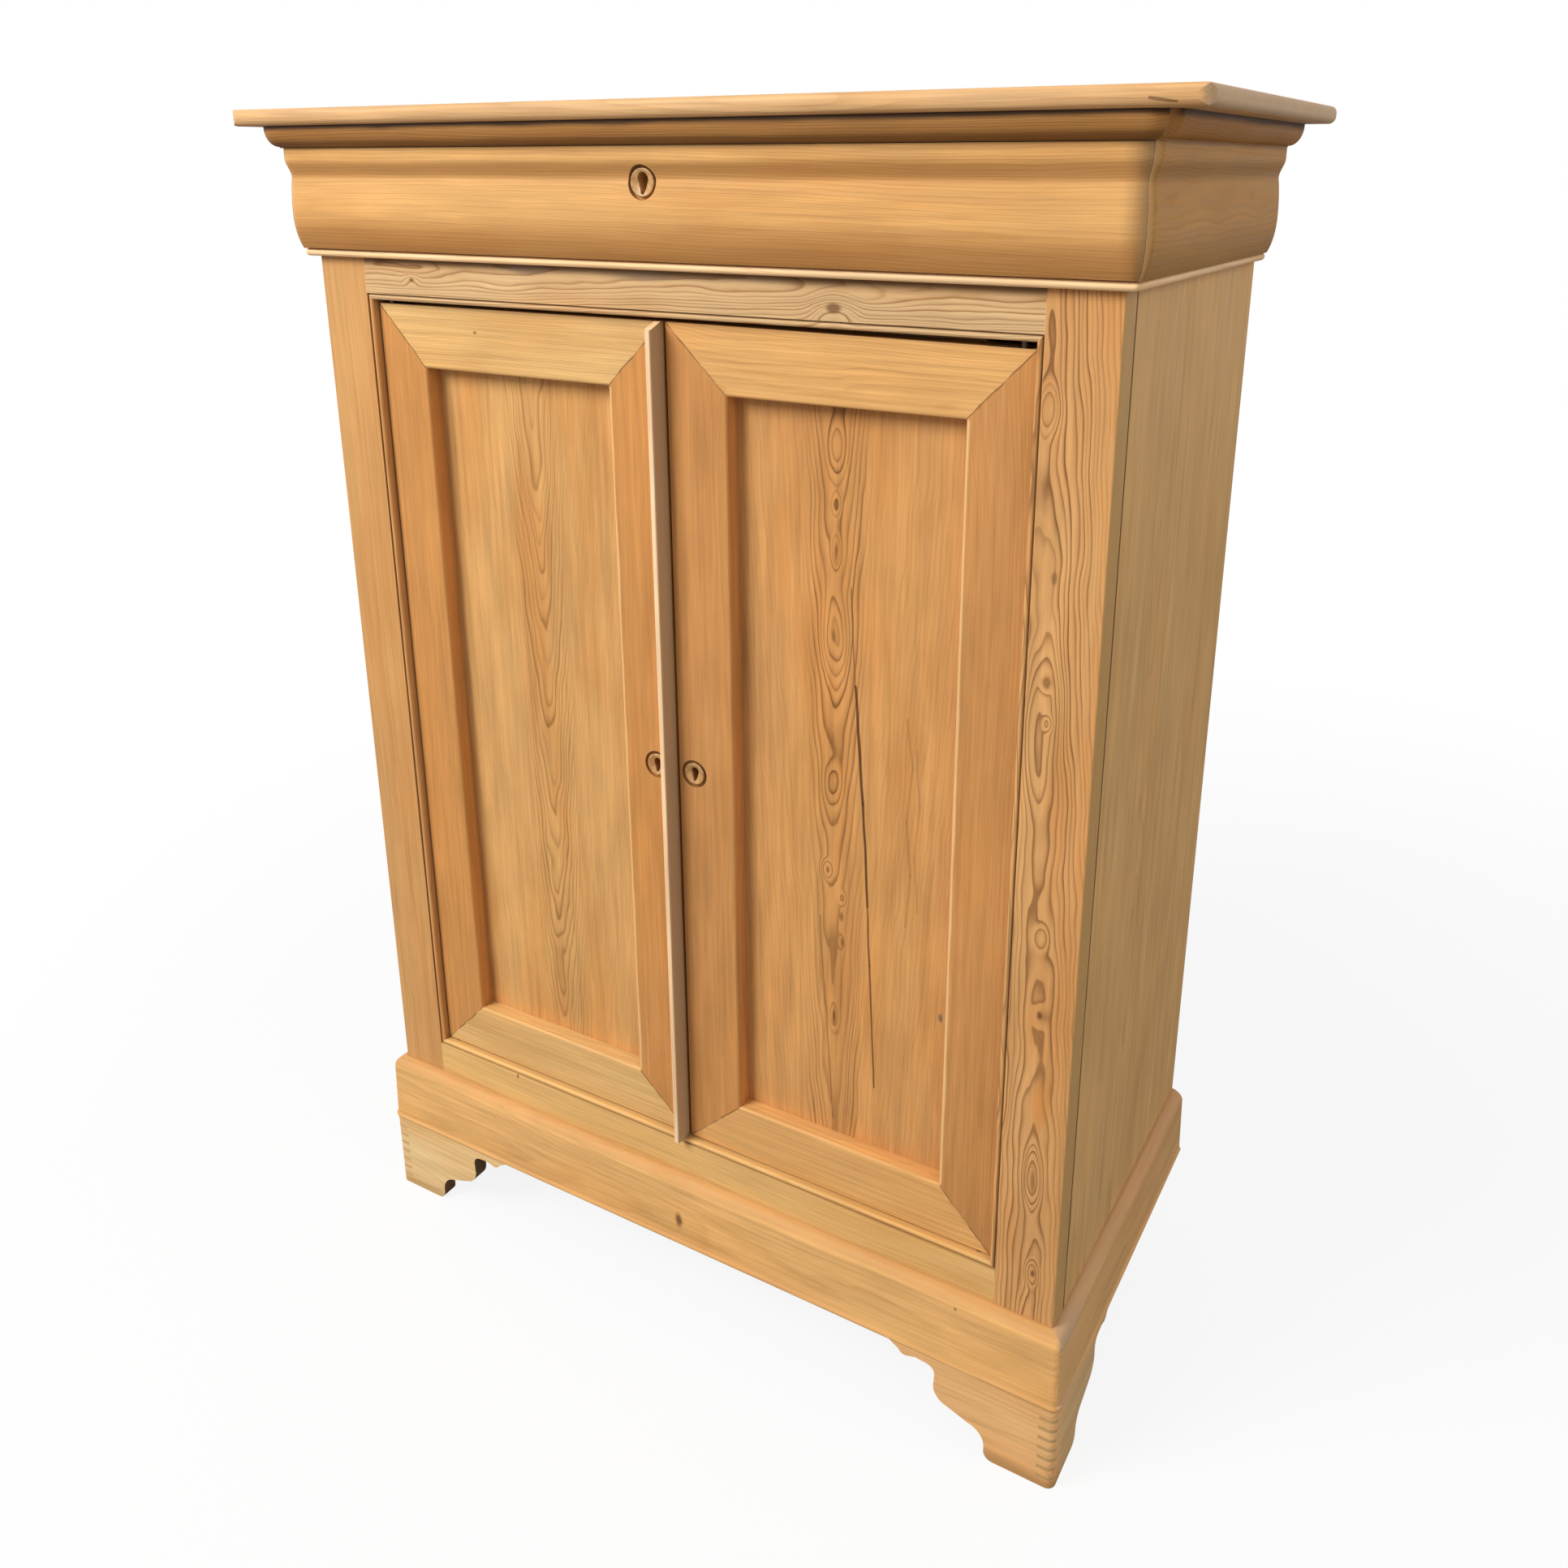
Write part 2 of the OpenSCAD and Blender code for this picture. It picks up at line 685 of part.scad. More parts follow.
// Scroll of a bracket foot: [distance from the corner, height], drawn for the height scroll_h
scroll_h = 106;
scroll_k = foot_h / scroll_h;
function scroll_raw() = concat([[0, 0], [foot_flat - 16, 0]],
    arc([foot_flat - 11, 11], 11, -90, 0, 6),
    arc([foot_flat + 23, 17], 23, 180, 98, 8),
    arc([foot_flat + 40, 70], 22, -62, 12, 8),
    arc([foot_flat + 72, 85], 11, 176, 92, 6),
    [[foot_flat + 84, 97]],
    arc([foot_flat + 97, 102.5], 9, -120, -25, 6),
    [[foot_len, scroll_h], [0, scroll_h]]);
function scroll_pts(share = 1) = [for (q = scroll_raw()) [q[0] * share, q[1] * scroll_k]];

// Plan of the rounded corner that both boards of a foot share
module foot_corner(len_x, len_y) {
    e = half_w + foot_out;
    r = corner_r;
    translate([0, 0, -cut]) linear_extrude(foot_h + 2 * cut)
        polygon(concat([[e - len_x, -foot_out]], arc([e - r, -foot_out + r], r, -90, 0, 8),
            [[e, len_y], [e - len_x, len_y]]));
}

// The pins of the side board, and the spaces between them
pin_step = foot_h / (pins + 1);
module corner_slice(z0, z1) {
    e = half_w + foot_out;
    block(e - foot_t, e + cut, -foot_out - cut, -foot_out + foot_t, z0, z1);
}

module pin_slices() {
    for (i = [1:pins])
        corner_slice(i * pin_step - pin_h / 2, i * pin_step + pin_h / 2);
}

module space_slices() {
    for (i = [0:pins])
        corner_slice(i == 0 ? -cut : i * pin_step + pin_h / 2,
            i == pins ? foot_h + cut : (i + 1) * pin_step - pin_h / 2);
}

module foot_front_right() {
    e = half_w + foot_out;
    color(honey) difference() {
        intersection() {
            front_prism([for (q = scroll_pts()) [e - q[0], q[1]]], -foot_out, foot_t - foot_out);
            foot_corner(foot_len, foot_t);
        }
        pin_slices();
    }
}

module foot_side_right() {
    e = half_w + foot_out;
    color(raw) difference() {
        intersection() {
            translate([e - foot_t, 0, 0]) rotate([90, 0, 90]) linear_extrude(foot_t)
                polygon([for (q = scroll_pts(side_share)) [q[0] - foot_out, q[1]]]);
            foot_corner(foot_t + 1, foot_len * side_share);
        }
        space_slices();
    }
}

// Socket plates that the pivot pins turn in
module socket(z, up) {
    translate([0, 0, z]) mirror([0, 0, up ? 0 : 1]) difference() {
        union() {
            block(plate_x, plate_x + plate_l, pivot_y - plate_w / 2, pivot_y + plate_w / 2,
                0, plate_t);
            translate([pivot_x, pivot_y, 0]) cylinder(r = cup_r, h = cup_h, $fn = 40);
        }
        translate([pivot_x, pivot_y, -cut])
            cylinder(r = pivot_r + pivot_play, h = pin_deep + 1 + cut, $fn = 40);
    }
}

module pivot_sockets() {
    color(iron) for (s = [0, 1])
        mirror([s, 0, 0]) {
            socket(open_z1, true);
            socket(open_z0, false);
        }
}

// Lock places
lock_bolt_w = 22;
lock_bolt_y = drawer_back_y - 2 - bolt_t;
bolt_h = 10;
right_bolt_z = key_z + 17;
right_bolt_y = door_back - 2 - bolt_t;
rod_x = key_x_left - 3;
rod_y = door_back + 8;

// Keyhole outline: wide round top, tapering to a small round foot
function keyhole_pts(r, foot, drop) = concat(arc([0, 0], r, -15, 195, 12),
    arc([0, -drop], foot, 195, 345, 6));

module keyhole(x, z, r, y0, y1) {
    front_prism([for (q = keyhole_pts(r, 0.4 * r, 2 * r)) [x + q[0], z + q[1] + 0.6 * r]],
        y0, y1);
}

// Turned ring with a dished face and the keyhole through it; it sits in a sunk round space
module ring(x, y, z, r, hole) {
    color(boxwood) difference() {
        translate([x, y, z]) rotate([90, 0, 0]) rotate_extrude($fn = 72)
            polygon(concat([[0, 0], [r, 0], [r, ring_t - 1.5]],
                arc([r - 1.5, ring_t - 1.5], 1.5, 0, 120, 6),
                [[0.45 * r, ring_t - 2.2], [0, ring_t - 2.2]]));
        keyhole(x, z, hole, y - ring_t - cut, y + cut);
    }
}

// Flat seat of a ring, and the keyhole behind it
module ring_seat(x, y, z, r, front) {
    translate([x, y, z]) rotate([90, 0, 0]) cylinder(r = r, h = y - front, $fn = 72);
}

// Drawer
drawer_hole = 6;
drawer_seat_y = cornice_set - valley_out + ring_t - 1;
module drawer_front() {
    color(orange) difference() {
        front_piece(swell_pts(), cornice_set, cornice_round, drawer_back_y, drawer_front_z,
            drawer_top, drawer_gap);
        for (s = [0, 1])
            mirror([s, 0, 0])
                block(drawer_in, drawer_x, drawer_back_y - 2 * housing, drawer_back_y + cut,
                    drawer_z, drawer_z + drawer_side_h);
        block(-drawer_in, drawer_in, drawer_back_y - housing, drawer_back_y + cut,
            drawer_z + drawer_floor_up, drawer_z + drawer_floor_up + drawer_floor_t);
        block(-lock_w / 2, lock_w / 2, drawer_back_y - lock_t, drawer_back_y + cut,
            drawer_top - lock_h, drawer_top + cut);
        ring_seat(0, drawer_seat_y, drawer_key_z, drawer_ring_r + drawer_ring_gap, -50);
        keyhole(0, drawer_key_z, drawer_hole, drawer_seat_y - cut, drawer_back_y - lock_t + cut);
    }
}

module drawer_side_right() {
    color(raw) difference() {
        block(drawer_in, drawer_x, drawer_back_y - 2 * housing, drawer_end,
            drawer_z, drawer_z + drawer_side_h);
        block(drawer_in - cut, drawer_in + housing, drawer_back_y - 2 * housing - cut,
            drawer_end + cut, drawer_z + drawer_floor_up,
            drawer_z + drawer_floor_up + drawer_floor_t);
    }
}

module drawer_back() {
    color(raw) block(-drawer_in, drawer_in, drawer_end - drawer_side_t, drawer_end,
        drawer_z + drawer_floor_up + drawer_floor_t, drawer_z + drawer_side_h - 6);
}

module drawer_bottom() {
    edge = drawer_in + housing;
    color(raw) union() {
        block(-drawer_in, drawer_in, drawer_back_y - housing, drawer_back_y,
            drawer_z + drawer_floor_up, drawer_z + drawer_floor_up + drawer_floor_t);
        block(-edge, edge, drawer_back_y, drawer_end,
            drawer_z + drawer_floor_up, drawer_z + drawer_floor_up + drawer_floor_t);
    }
}

module drawer_escutcheon() {
    ring(0, drawer_seat_y, drawer_key_z, drawer_ring_r, drawer_hole);
}

module drawer_lock() {
    color(iron) difference() {
        block(-lock_w / 2, lock_w / 2, drawer_back_y - lock_t, drawer_back_y,
            drawer_top - lock_h, drawer_top);
        block(-lock_bolt_w / 2 - 0.3, lock_bolt_w / 2 + 0.3, lock_bolt_y - 0.3,
            lock_bolt_y + bolt_t + 0.3, drawer_top - 24.3, drawer_top + cut);
        keyhole(0, drawer_key_z, 3.4, drawer_back_y - lock_t - cut, drawer_back_y - 4);
    }
}

module drawer_bolt() {
    color(iron) block(-lock_bolt_w / 2, lock_bolt_w / 2, lock_bolt_y, lock_bolt_y + bolt_t,
        drawer_top - 24, drawer_top - 0.5);
}

// Door frame member, in section: [distance from the inner edge, depth from the door face]
function member_pts(w) = concat(
    arc([door_arris, door_arris], door_arris, 180, 270, 5),
    arc([w - 1, 1], 1, 270, 360, 3),
    [[w, door_t], [0, door_t], [0, panel_set + panel_t + 0.1],
        [groove_d, panel_set + panel_t + 0.1], [groove_d, panel_set - 0.1], [0, panel_set - 0.1]]);

module member_upright(w) { linear_extrude(total_h) polygon(member_pts(w)); }

module member_level(w) {
    rotate([90, 0, 90]) linear_extrude(half_w) polygon([for (q = member_pts(w)) [q[1], q[0]]]);
}

// Each piece of the right door; drop lowers the upper outer corner
module hinge_stile(drop) {
    intersection() {
        translate([panel_x1, door_set, 0]) member_upright(hinge_stile_w);
        front_prism([[door_x1, door_z0], [door_x1, door_z1 - drop], [panel_x1, panel_z1],
            [panel_x1, panel_z0]], door_set, door_back);
    }
}

module meeting_stile() {
    intersection() {
        translate([panel_x0, door_set, 0]) mirror([1, 0, 0]) member_upright(meet_stile_w);
        front_prism([[door_x0, door_z0], [door_x0, door_z1], [panel_x0, panel_z1],
            [panel_x0, panel_z0]], door_set, door_back);
    }
}

module door_top_rail(drop) {
    difference() {
        intersection() {
            translate([0, door_set, panel_z1]) member_level(door_rail_top);
            front_prism([[door_x0, door_z1], [door_x1, door_z1 - drop], [panel_x1, panel_z1],
                [panel_x0, panel_z1]], door_set, door_back);
        }
        block(plate_x, plate_x + plate_l, pivot_y - plate_w / 2, pivot_y + plate_w / 2,
            door_z1 - drop - plate_t, door_z1 + cut);
    }
}

module door_bottom_rail() {
    difference() {
        intersection() {
            translate([0, door_set, panel_z0]) mirror([0, 0, 1]) member_level(door_rail_low);
            front_prism([[door_x0, door_z0], [door_x1, door_z0], [panel_x1, panel_z0],
                [panel_x0, panel_z0]], door_set, door_back);
        }
        block(plate_x, plate_x + plate_l, pivot_y - plate_w / 2, pivot_y + plate_w / 2,
            door_z0 - cut, door_z0 + plate_t);
    }
}

module door_panel() {
    e = groove_d - panel_play;
    block(panel_x0 - e, panel_x1 + e, door_set + panel_set, door_set + panel_set + panel_t,
        panel_z0 - e, panel_z1 + e);
}

module pivot(z, up) {
    translate([0, 0, z]) mirror([0, 0, up ? 0 : 1]) {
        block(plate_x, plate_x + plate_l, pivot_y - plate_w / 2, pivot_y + plate_w / 2,
            -plate_t, 0);
        translate([pivot_x, pivot_y, -plate_t])
            cylinder(r = pivot_r, h = plate_t + pin_deep + (up ? open_z1 - z : z - open_z0),
                $fn = 40);
    }
}

module pivots(drop) {
    pivot(door_z1 - drop, true);
    pivot(door_z0, false);
}

seat_y = door_set + ring_t - 0.5;
door_hole = 4.8;

module right_hinge_stile() { color(orange) hinge_stile(door_drop); }
module right_top_rail() { color(orange) door_top_rail(door_drop); }
module right_bottom_rail() { color(orange) door_bottom_rail(); }
module right_panel() { color(honey) door_panel(); }
module right_pivots() { color(iron) pivots(door_drop); }
module right_escutcheon() { ring(key_x_right, seat_y, key_z, ring_r, door_hole); }

module right_meeting_stile() {
    color(orange) difference() {
        meeting_stile();
        block(door_x0 - cut, door_x0 + lock_w, door_back - lock_t, door_back + cut,
            key_z - lock_h / 2, key_z + lock_h / 2);
        ring_seat(key_x_right, seat_y, key_z, ring_r + ring_gap, door_set - cut);
        keyhole(key_x_right, key_z, door_hole, seat_y - cut, door_back - lock_t + cut);
    }
}

module right_lock() {
    color(iron) {
        difference() {
            block(door_x0, door_x0 + lock_w, door_back - lock_t, door_back,
                key_z - lock_h / 2, key_z + lock_h / 2);
            block(door_x0 - cut, door_x0 + 34.3, right_bolt_y - 0.3, right_bolt_y + bolt_t + 0.3,
                right_bolt_z - bolt_h / 2 - 0.3, right_bolt_z + bolt_h / 2 + 0.3);
            keyhole(key_x_right, key_z, 3.2, door_back - lock_t - cut, door_back - 4);
        }
        translate([key_x_right, door_back - 4, key_z + 2]) rotate([90, 0, 0])
            cylinder(r = 1.4, h = lock_t + 6, $fn = 24);
    }
}

module right_bolt() {
    color(iron) block(door_x0 + 0.5, door_x0 + 34, right_bolt_y, right_bolt_y + bolt_t,
        right_bolt_z - bolt_h / 2, right_bolt_z + bolt_h / 2);
}

module left_hinge_stile() { color(orange) on_left() hinge_stile(0); }
module left_top_rail() { color(orange) on_left() door_top_rail(0); }
module left_bottom_rail() { color(orange) on_left() door_bottom_rail(); }
module left_panel() { color(honey) on_left() door_panel(); }
module left_pivots() { color(iron) on_left() pivots(0); }
module left_escutcheon() { ring(-key_x_left, seat_y, key_z, ring_r, door_hole); }

module left_meeting_stile() {
    color(orange) difference() {
        on_left() meeting_stile();
        block(-door_x0 - bolt_throw - 2, -door_x0 + cut, right_bolt_y - 1,
            right_bolt_y + bolt_t + 1, right_bolt_z - bolt_h / 2 - 1, right_bolt_z + bolt_h / 2 + 1);
        ring_seat(-key_x_left, seat_y, key_z, ring_r + ring_gap, door_set - cut);
        keyhole(-key_x_left, key_z, door_hole, seat_y - cut, door_set + 18);
    }
}

// Batten over the joint of the doors, fixed to the left door, with a bevelled top end
module meeting_batten() {
    x1 = -door_x0;
    x0 = x1 - batten_w;
    y0 = door_set - batten_d;
    r = 2.2;
    color(orange) difference() {
        translate([0, 0, door_z0]) linear_extrude(door_z1 - door_z0)
            polygon(concat([[x0, door_set]], arc([x0 + r, y0 + r], r, 180, 270, 5),
                arc([x1 - r, y0 + r], r, 270, 360, 5), [[x1, door_set]]));
        translate([x0 - cut, 0, 0]) rotate([90, 0, 90]) linear_extrude(batten_w + 2 * cut)
            polygon([[y0 - cut, door_z1 - batten_bevel], [door_set - 2, door_z1 + cut],
                [y0 - cut, door_z1 + cut]]);
    }
}

// Slide bolt on the back of the left door: plate with two guides, and the rod they hold
rod_z1 = open_z1 - 18 - 3;
rod_z0 = rod_z1 - rod_l;
module slide_bolt_guide() {
    w = 26;
    plate = 2;
    color(iron) difference() {
        union() {
            block(-rod_x - w / 2, -rod_x + w / 2, door_back, door_back + plate,
                rod_z0 + 8, rod_z1 - 4);
            for (z = [rod_z0 + 12, rod_z1 - 20])
                block(-rod_x - rod_r - 3, -rod_x + rod_r + 3, door_back, rod_y + rod_r + 2.5,
                    z, z + 12);
        }
        translate([-rod_x, rod_y, rod_z0]) cylinder(r = rod_r + 0.06, h = rod_l, $fn = 40);
    }
}

module slide_bolt() {
    color(iron) {
        translate([-rod_x, rod_y, rod_z0]) cylinder(r = rod_r, h = rod_l, $fn = 40);
        translate([-rod_x, rod_y, (rod_z0 + rod_z1) / 2 - 8]) rotate([-90, 0, 0])
            cylinder(r = 3, h = rod_r + 9, $fn = 32);
    }
}

module top_moulding_left() { on_left() top_moulding_right(); }
module cornice_left() { on_left() cornice_right(); }
module bead_left() { on_left() bead_right(); }
module stile_left() { on_left() stile_right(); }
module side_left() { on_left() side_right(); }
module back_post_left() { on_left() back_post_right(); }
module plinth_left() { on_left() plinth_right(); }
module foot_front_left() { on_left() foot_front_right(); }
module foot_side_left() { on_left() foot_side_right(); }
module drawer_side_left() { on_left() drawer_side_right(); }

module placed() { translate([0, front_y, 0]) children(); }

placed() top_board();
placed() top_moulding_front();
placed() top_moulding_left();
placed() top_moulding_right();
placed() cornice_left();
placed() cornice_right();
placed() bead_front();
placed() bead_left();
placed() bead_right();
placed() stile_left();
placed() stile_right();
placed() frieze_rail();
placed() bottom_rail();
placed() side_left();
placed() side_right();
placed() back_post_left();
placed() back_post_right();
placed() back_rails();
placed() back_boards();
placed() floor_board();
placed() shelves();
placed() cleats();
placed() dust_board();
placed() drawer_runners();
placed() door_stops();
placed() plinth_front();
placed() plinth_left();
placed() plinth_right();
placed() foot_front_left();
placed() foot_front_right();
placed() foot_side_left();
placed() foot_side_right();
placed() pivot_sockets();
placed() drawer_front();
placed() drawer_side_left();
placed() drawer_side_right();
placed() drawer_back();
placed() drawer_bottom();
placed() drawer_escutcheon();
placed() drawer_lock();
placed() drawer_bolt();
placed() left_hinge_stile();
placed() left_meeting_stile();
placed() left_top_rail();
placed() left_bottom_rail();
placed() left_panel();
placed() meeting_batten();
placed() left_escutcheon();
placed() left_pivots();
placed() slide_bolt_guide();
placed() slide_bolt();
placed() right_hinge_stile();
placed() right_meeting_stile();
placed() right_top_rail();
placed() right_bottom_rail();
placed() right_panel();
placed() right_escutcheon();
placed() right_pivots();
placed() right_lock();
placed() right_bolt();
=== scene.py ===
# Two-door pine cupboard with a drawer hidden in its cornice: looks, light and camera.
from math import radians

import bpy
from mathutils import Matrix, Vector

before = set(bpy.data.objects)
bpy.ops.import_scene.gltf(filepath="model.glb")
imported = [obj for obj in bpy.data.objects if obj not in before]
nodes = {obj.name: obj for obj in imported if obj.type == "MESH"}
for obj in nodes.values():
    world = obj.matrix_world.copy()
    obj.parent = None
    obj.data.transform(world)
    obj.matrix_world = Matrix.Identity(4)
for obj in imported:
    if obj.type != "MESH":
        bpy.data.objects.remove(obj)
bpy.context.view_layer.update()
print("frame loaded:", len(nodes), "pieces")

mm = 0.001          # in m
perMetre = 1000     # mm in a metre, for patterns whose size is in mm
white = (1, 1, 1, 1)


def hexColour(code):
    # sRGB hex to the linear values that shaders use
    parts = [int(code[i:i + 2], 16) / 255 for i in (1, 3, 5)]
    return [c / 12.92 if c <= 0.04045 else ((c + 0.055) / 1.055) ** 2.4 for c in parts] + [1.0]


def addNode(tree, kind, inputs=None, **settings):
    # one node with its settings; inputs holds plain values or sockets to link
    node = tree.nodes.new(kind)
    for key, value in settings.items():
        setattr(node, key, value)
    for key, value in (inputs or {}).items():
        if isinstance(value, bpy.types.NodeSocket):
            tree.links.new(value, node.inputs[key])
        else:
            node.inputs[key].default_value = value
    return node


def newMaterial(name):
    material = bpy.data.materials.new(name)
    material.use_nodes = True
    tree = material.node_tree
    tree.nodes.clear()
    output = tree.nodes.new("ShaderNodeOutputMaterial")
    return material, tree, output


def setStops(ramp, stops):
    # colours along a colour ramp, each with its place from 0 to 1
    while len(ramp.elements) < len(stops):
        ramp.elements.new(0.5)
    for element, (spot, colour) in zip(ramp.elements, stops):
        element.position = spot
        element.color = colour


# Old waxed pine: growth rings cut by each board's own faces. A ring is pale, darkens towards its end
# and stops short, so a flat-sawn face shows nested arches and a quarter-sawn one fine lines.
# Each board below changes some of these values.
pine = {
    "along": "z",          # axis that the grain follows
    "pith": (0.0, 0.0),    # m, middle of the trunk: (x, y) for z, (y, z) for x, (z, x) for y
    "lean": 0.0,           # m per metre that the trunk leans in the first of those directions
    "ring": 3.6,           # mm between dark lines where the cut is square to the rings
    "taper": 0.012,        # how much the trunk narrows along the board
    "wander": 9.0,         # mm that the rings stray, slowly, along the board
    "wanderAcross": 7.0,   # slow strays per metre across the grain
    "wanderAlong": 2.2,    # slow strays per metre along the grain
    "sway": 0.0,           # mm of middle-sized straying, which closes arches into ovals
    "swayAcross": 25.0,
    "swayAlong": 8.0,
    "ripple": 0.9,         # mm of quick unevenness in a ring
    "rippleAcross": 70.0,
    "rippleAlong": 14.0,
    "swells": [],          # ovals in the figure: place in m, reach in mm, lift in mm
    "band": None,          # figure in a strip: 0 or 1 for pith's direction, middle in m, half width in mm
    "bandRest": 0.12,      # share of the figure that stays outside the strip
    "early": "#E2B074",    # spring wood
    "late": "#B0743C",     # summer wood
    "lateShare": 0.5,
    "warm": "#D6924E",     # where the old wax has yellowed it
    "warmShare": 0.4,
    "grey": "#A98560",     # where it has weathered
    "greyShare": 0.12,
    "fibre": 0.11,         # how much the streaks show
    "streak": 6.0,         # mm, drawn coarser than real fibres so that they show
    "mottle": 0.05,        # how much the boards darken and lighten in blotches
    "worn": "#F0C692",     # rubbed corners
    "wornShare": 0.4,
    "shadeAndDirt": 0.4,           # painted shade and dirt in the corners
    "rough": 0.52,
    "gloss": 0.22,         # specular level of the worn wax
    "relief": 0.2,         # mm that the summer wood stands proud
    "seed": 1.0,           # its multiples shift the patterns, so that no two boards are alike
    "tone": (1, 1, 1),     # this board's colour against the others
    "knots": [],           # place in m, radius in mm
    "stainsAndShade": [],          # stains and painted shade: place in m, reach in mm, colour, strength
    "lines": [],           # joints, cracks, painted highlights on edges: both ends in m, half width in mm, colour, strength
    "facing": [],          # cut faces, and painted shade on faces by the way they turn to the light: direction, colour, strength
}

# What all the boards share. A fade is a pair: where a mark starts to change and where it ends.
grain = {
    "strayGain": 4.0,              # noise keeps near its middle, so it is stretched to fill the stray
    "strayShift": (3.7, 2.3, 1.0),     # keeps the slow, the middle and the quick straying apart
    "strayDetail": (1.5, 1.0, 2.0),    # noise detail of each
    "knotLong": 7.5,               # reach of the rings that a knot disturbs, in its radii, along the grain
    "knotWide": 4.5,               # and across it
    "knotLift": 1.6,               # how far it pushes them aside, in its radii
    "knotFade": (0.10, 0.26),      # edge of its dark core, in shares of that reach
    "knotColour": "#6E4424",
    "knotShare": 0.8,
    "unevenScale": 0.21,           # changes of ring width per ring
    "uneven": 2.4,                 # and their size, in rings
    "weakestRing": 0.35,           # darkness of the faintest ring beside the strongest
    "ringShade": [(0.0, 0.10), (0.35, 0.02), (0.66, 0.35), (0.86, 1.0), (0.95, 0.95), (1.0, 0.10)],
    "bandFade": (0.8, 1.4),        # in half widths of the strip
    "streakAlong": 6,              # streaks per metre along the grain, so about 170 mm long
    "patchScale": (13, 13, 2.4),   # patches of wax per metre, so about 77 mm wide and 420 mm long
    "patchFade": (0.42, 0.68),
    "blotchScale": (34, 34, 10),   # blotches per metre, so about 30 mm wide and 100 mm long
    "noiseFade": (0.3, 0.7),       # the span of values that a noise mostly keeps to
    "stainAndShadeFade": (0.3, 1.0),       # in shares of the reach of a stain or a patch of painted shade
    "lineFade": (0.6, 1.3),        # in half widths of a line
    "facingFade": (0.3, 0.6),      # cosine of the angle between a face and the direction
    "corner": 2.2,                 # mm, radius over which a corner counts as rubbed
    "cornerFade": (0.995, 0.86),   # cosine of the turn that the corner makes there
    "shelter": 14,                 # mm within which a near face shades a place, which then gets painted shade and dirt
    "clearFade": (0.75, 0.97),     # light that reaches a corner which hands can rub
    "shadeAndGrimeFade": (0.25, 0.85),     # light that reaches a place which gets painted shade and dirt
    # colour of that painted shade and dirt
    "shadeAndGrime": "#5E3A1B",
    "streakRelief": 0.5,           # height of the streaks beside that of the summer wood
    "bumpStrength": 0.6,
    "smoother": 0.06,              # roughness that the streaks take away and add
    "rougher": 0.08,
}


def reachFrom(tree, place, spot, reach):
    # distance from a spot in shares of its reach, which is in mm along each axis
    away = addNode(tree, "ShaderNodeVectorMath", {
        0: place, 1: [perMetre / r for r in reach], 2: [-s * perMetre / r for s, r in zip(spot, reach)]},
        operation="MULTIPLY_ADD").outputs[0]
    return addNode(tree, "ShaderNodeVectorMath", {0: away}, operation="LENGTH").outputs["Value"]


def strayRings(tree, look, spread):
    # slow, middle and quick straying of the rings; the quick one is used again for rough outlines
    seed = look["seed"]
    strays = [
        (look["wander"], look["wanderAcross"], look["wanderAlong"]),
        (look["sway"], look["swayAcross"], look["swayAlong"]),
        (look["ripple"], look["rippleAcross"], look["rippleAlong"]),
    ]
    strayed = spread
    for (size, across, lengthwise), shift, detail in zip(strays, grain["strayShift"], grain["strayDetail"]):
        if size == 0:
            continue
        at = addNode(tree, "ShaderNodeVectorMath", {
            0: spread, 1: (across, across, lengthwise), 2: (seed * shift, seed * 1.3, seed * 2.1)},
            operation="MULTIPLY_ADD").outputs[0]
        noise = addNode(tree, "ShaderNodeTexNoise", {
            "Vector": at, "Scale": 1.0, "Detail": detail}).outputs["Color"]
        span = size * grain["strayGain"] * mm
        stray = addNode(tree, "ShaderNodeVectorMath", {
            0: noise, 1: (span,) * 3, 2: (-span / 2,) * 3}, operation="MULTIPLY_ADD").outputs[0]
        strayed = addNode(tree, "ShaderNodeVectorMath", {0: strayed, 1: stray}, operation="ADD").outputs[0]
    return strayed, stray


def trunkDistance(tree, look, place, strayed, lengthwise):
    # m from the trunk's middle, pushed aside by ovals and by knots, and where the knots are dark
    across, up = look["pith"]
    flat = addNode(tree, "ShaderNodeVectorMath", {
        0: strayed, 1: (1, 1, 0), 2: (-across, -up, 0)}, operation="MULTIPLY_ADD").outputs[0]
    if look["lean"]:
        drift = addNode(tree, "ShaderNodeVectorMath", {
            0: (-look["lean"], 0, 0), "Scale": lengthwise}, operation="SCALE").outputs[0]
        flat = addNode(tree, "ShaderNodeVectorMath", {0: flat, 1: drift}, operation="ADD").outputs[0]
    radius = addNode(tree, "ShaderNodeVectorMath", {0: flat}, operation="LENGTH").outputs["Value"]
    trunk = addNode(tree, "ShaderNodeMath", {
        0: lengthwise, 1: look["taper"], 2: radius}, operation="MULTIPLY_ADD").outputs[0]

    swells = [(spot, reach, lift, False) for spot, reach, lift in look["swells"]]
    for spot, size in look["knots"]:
        long, wide = size * grain["knotLong"], size * grain["knotWide"]
        reach = [long if axis == look["along"] else wide for axis in "xyz"]
        swells.append((spot, reach, size * grain["knotLift"], True))
    knotDark = None
    for spot, reach, lift, isKnot in swells:
        gap = reachFrom(tree, place, spot, reach)
        near = addNode(tree, "ShaderNodeMapRange", {
            "Value": gap, "To Min": lift * mm, "To Max": 0.0}, interpolation_type="SMOOTHERSTEP").outputs[0]
        trunk = addNode(tree, "ShaderNodeMath", {0: trunk, 1: near}, operation="ADD").outputs[0]
        if not isKnot:
            continue
        start, end = grain["knotFade"]
        dark = addNode(tree, "ShaderNodeMapRange", {
            "Value": gap, "From Min": start, "From Max": end, "To Min": 1.0, "To Max": 0.0},
            interpolation_type="SMOOTHSTEP").outputs[0]
        knotDark = dark if knotDark is None else addNode(
            tree, "ShaderNodeMath", {0: knotDark, 1: dark}, operation="MAXIMUM").outputs[0]
    return trunk, knotDark


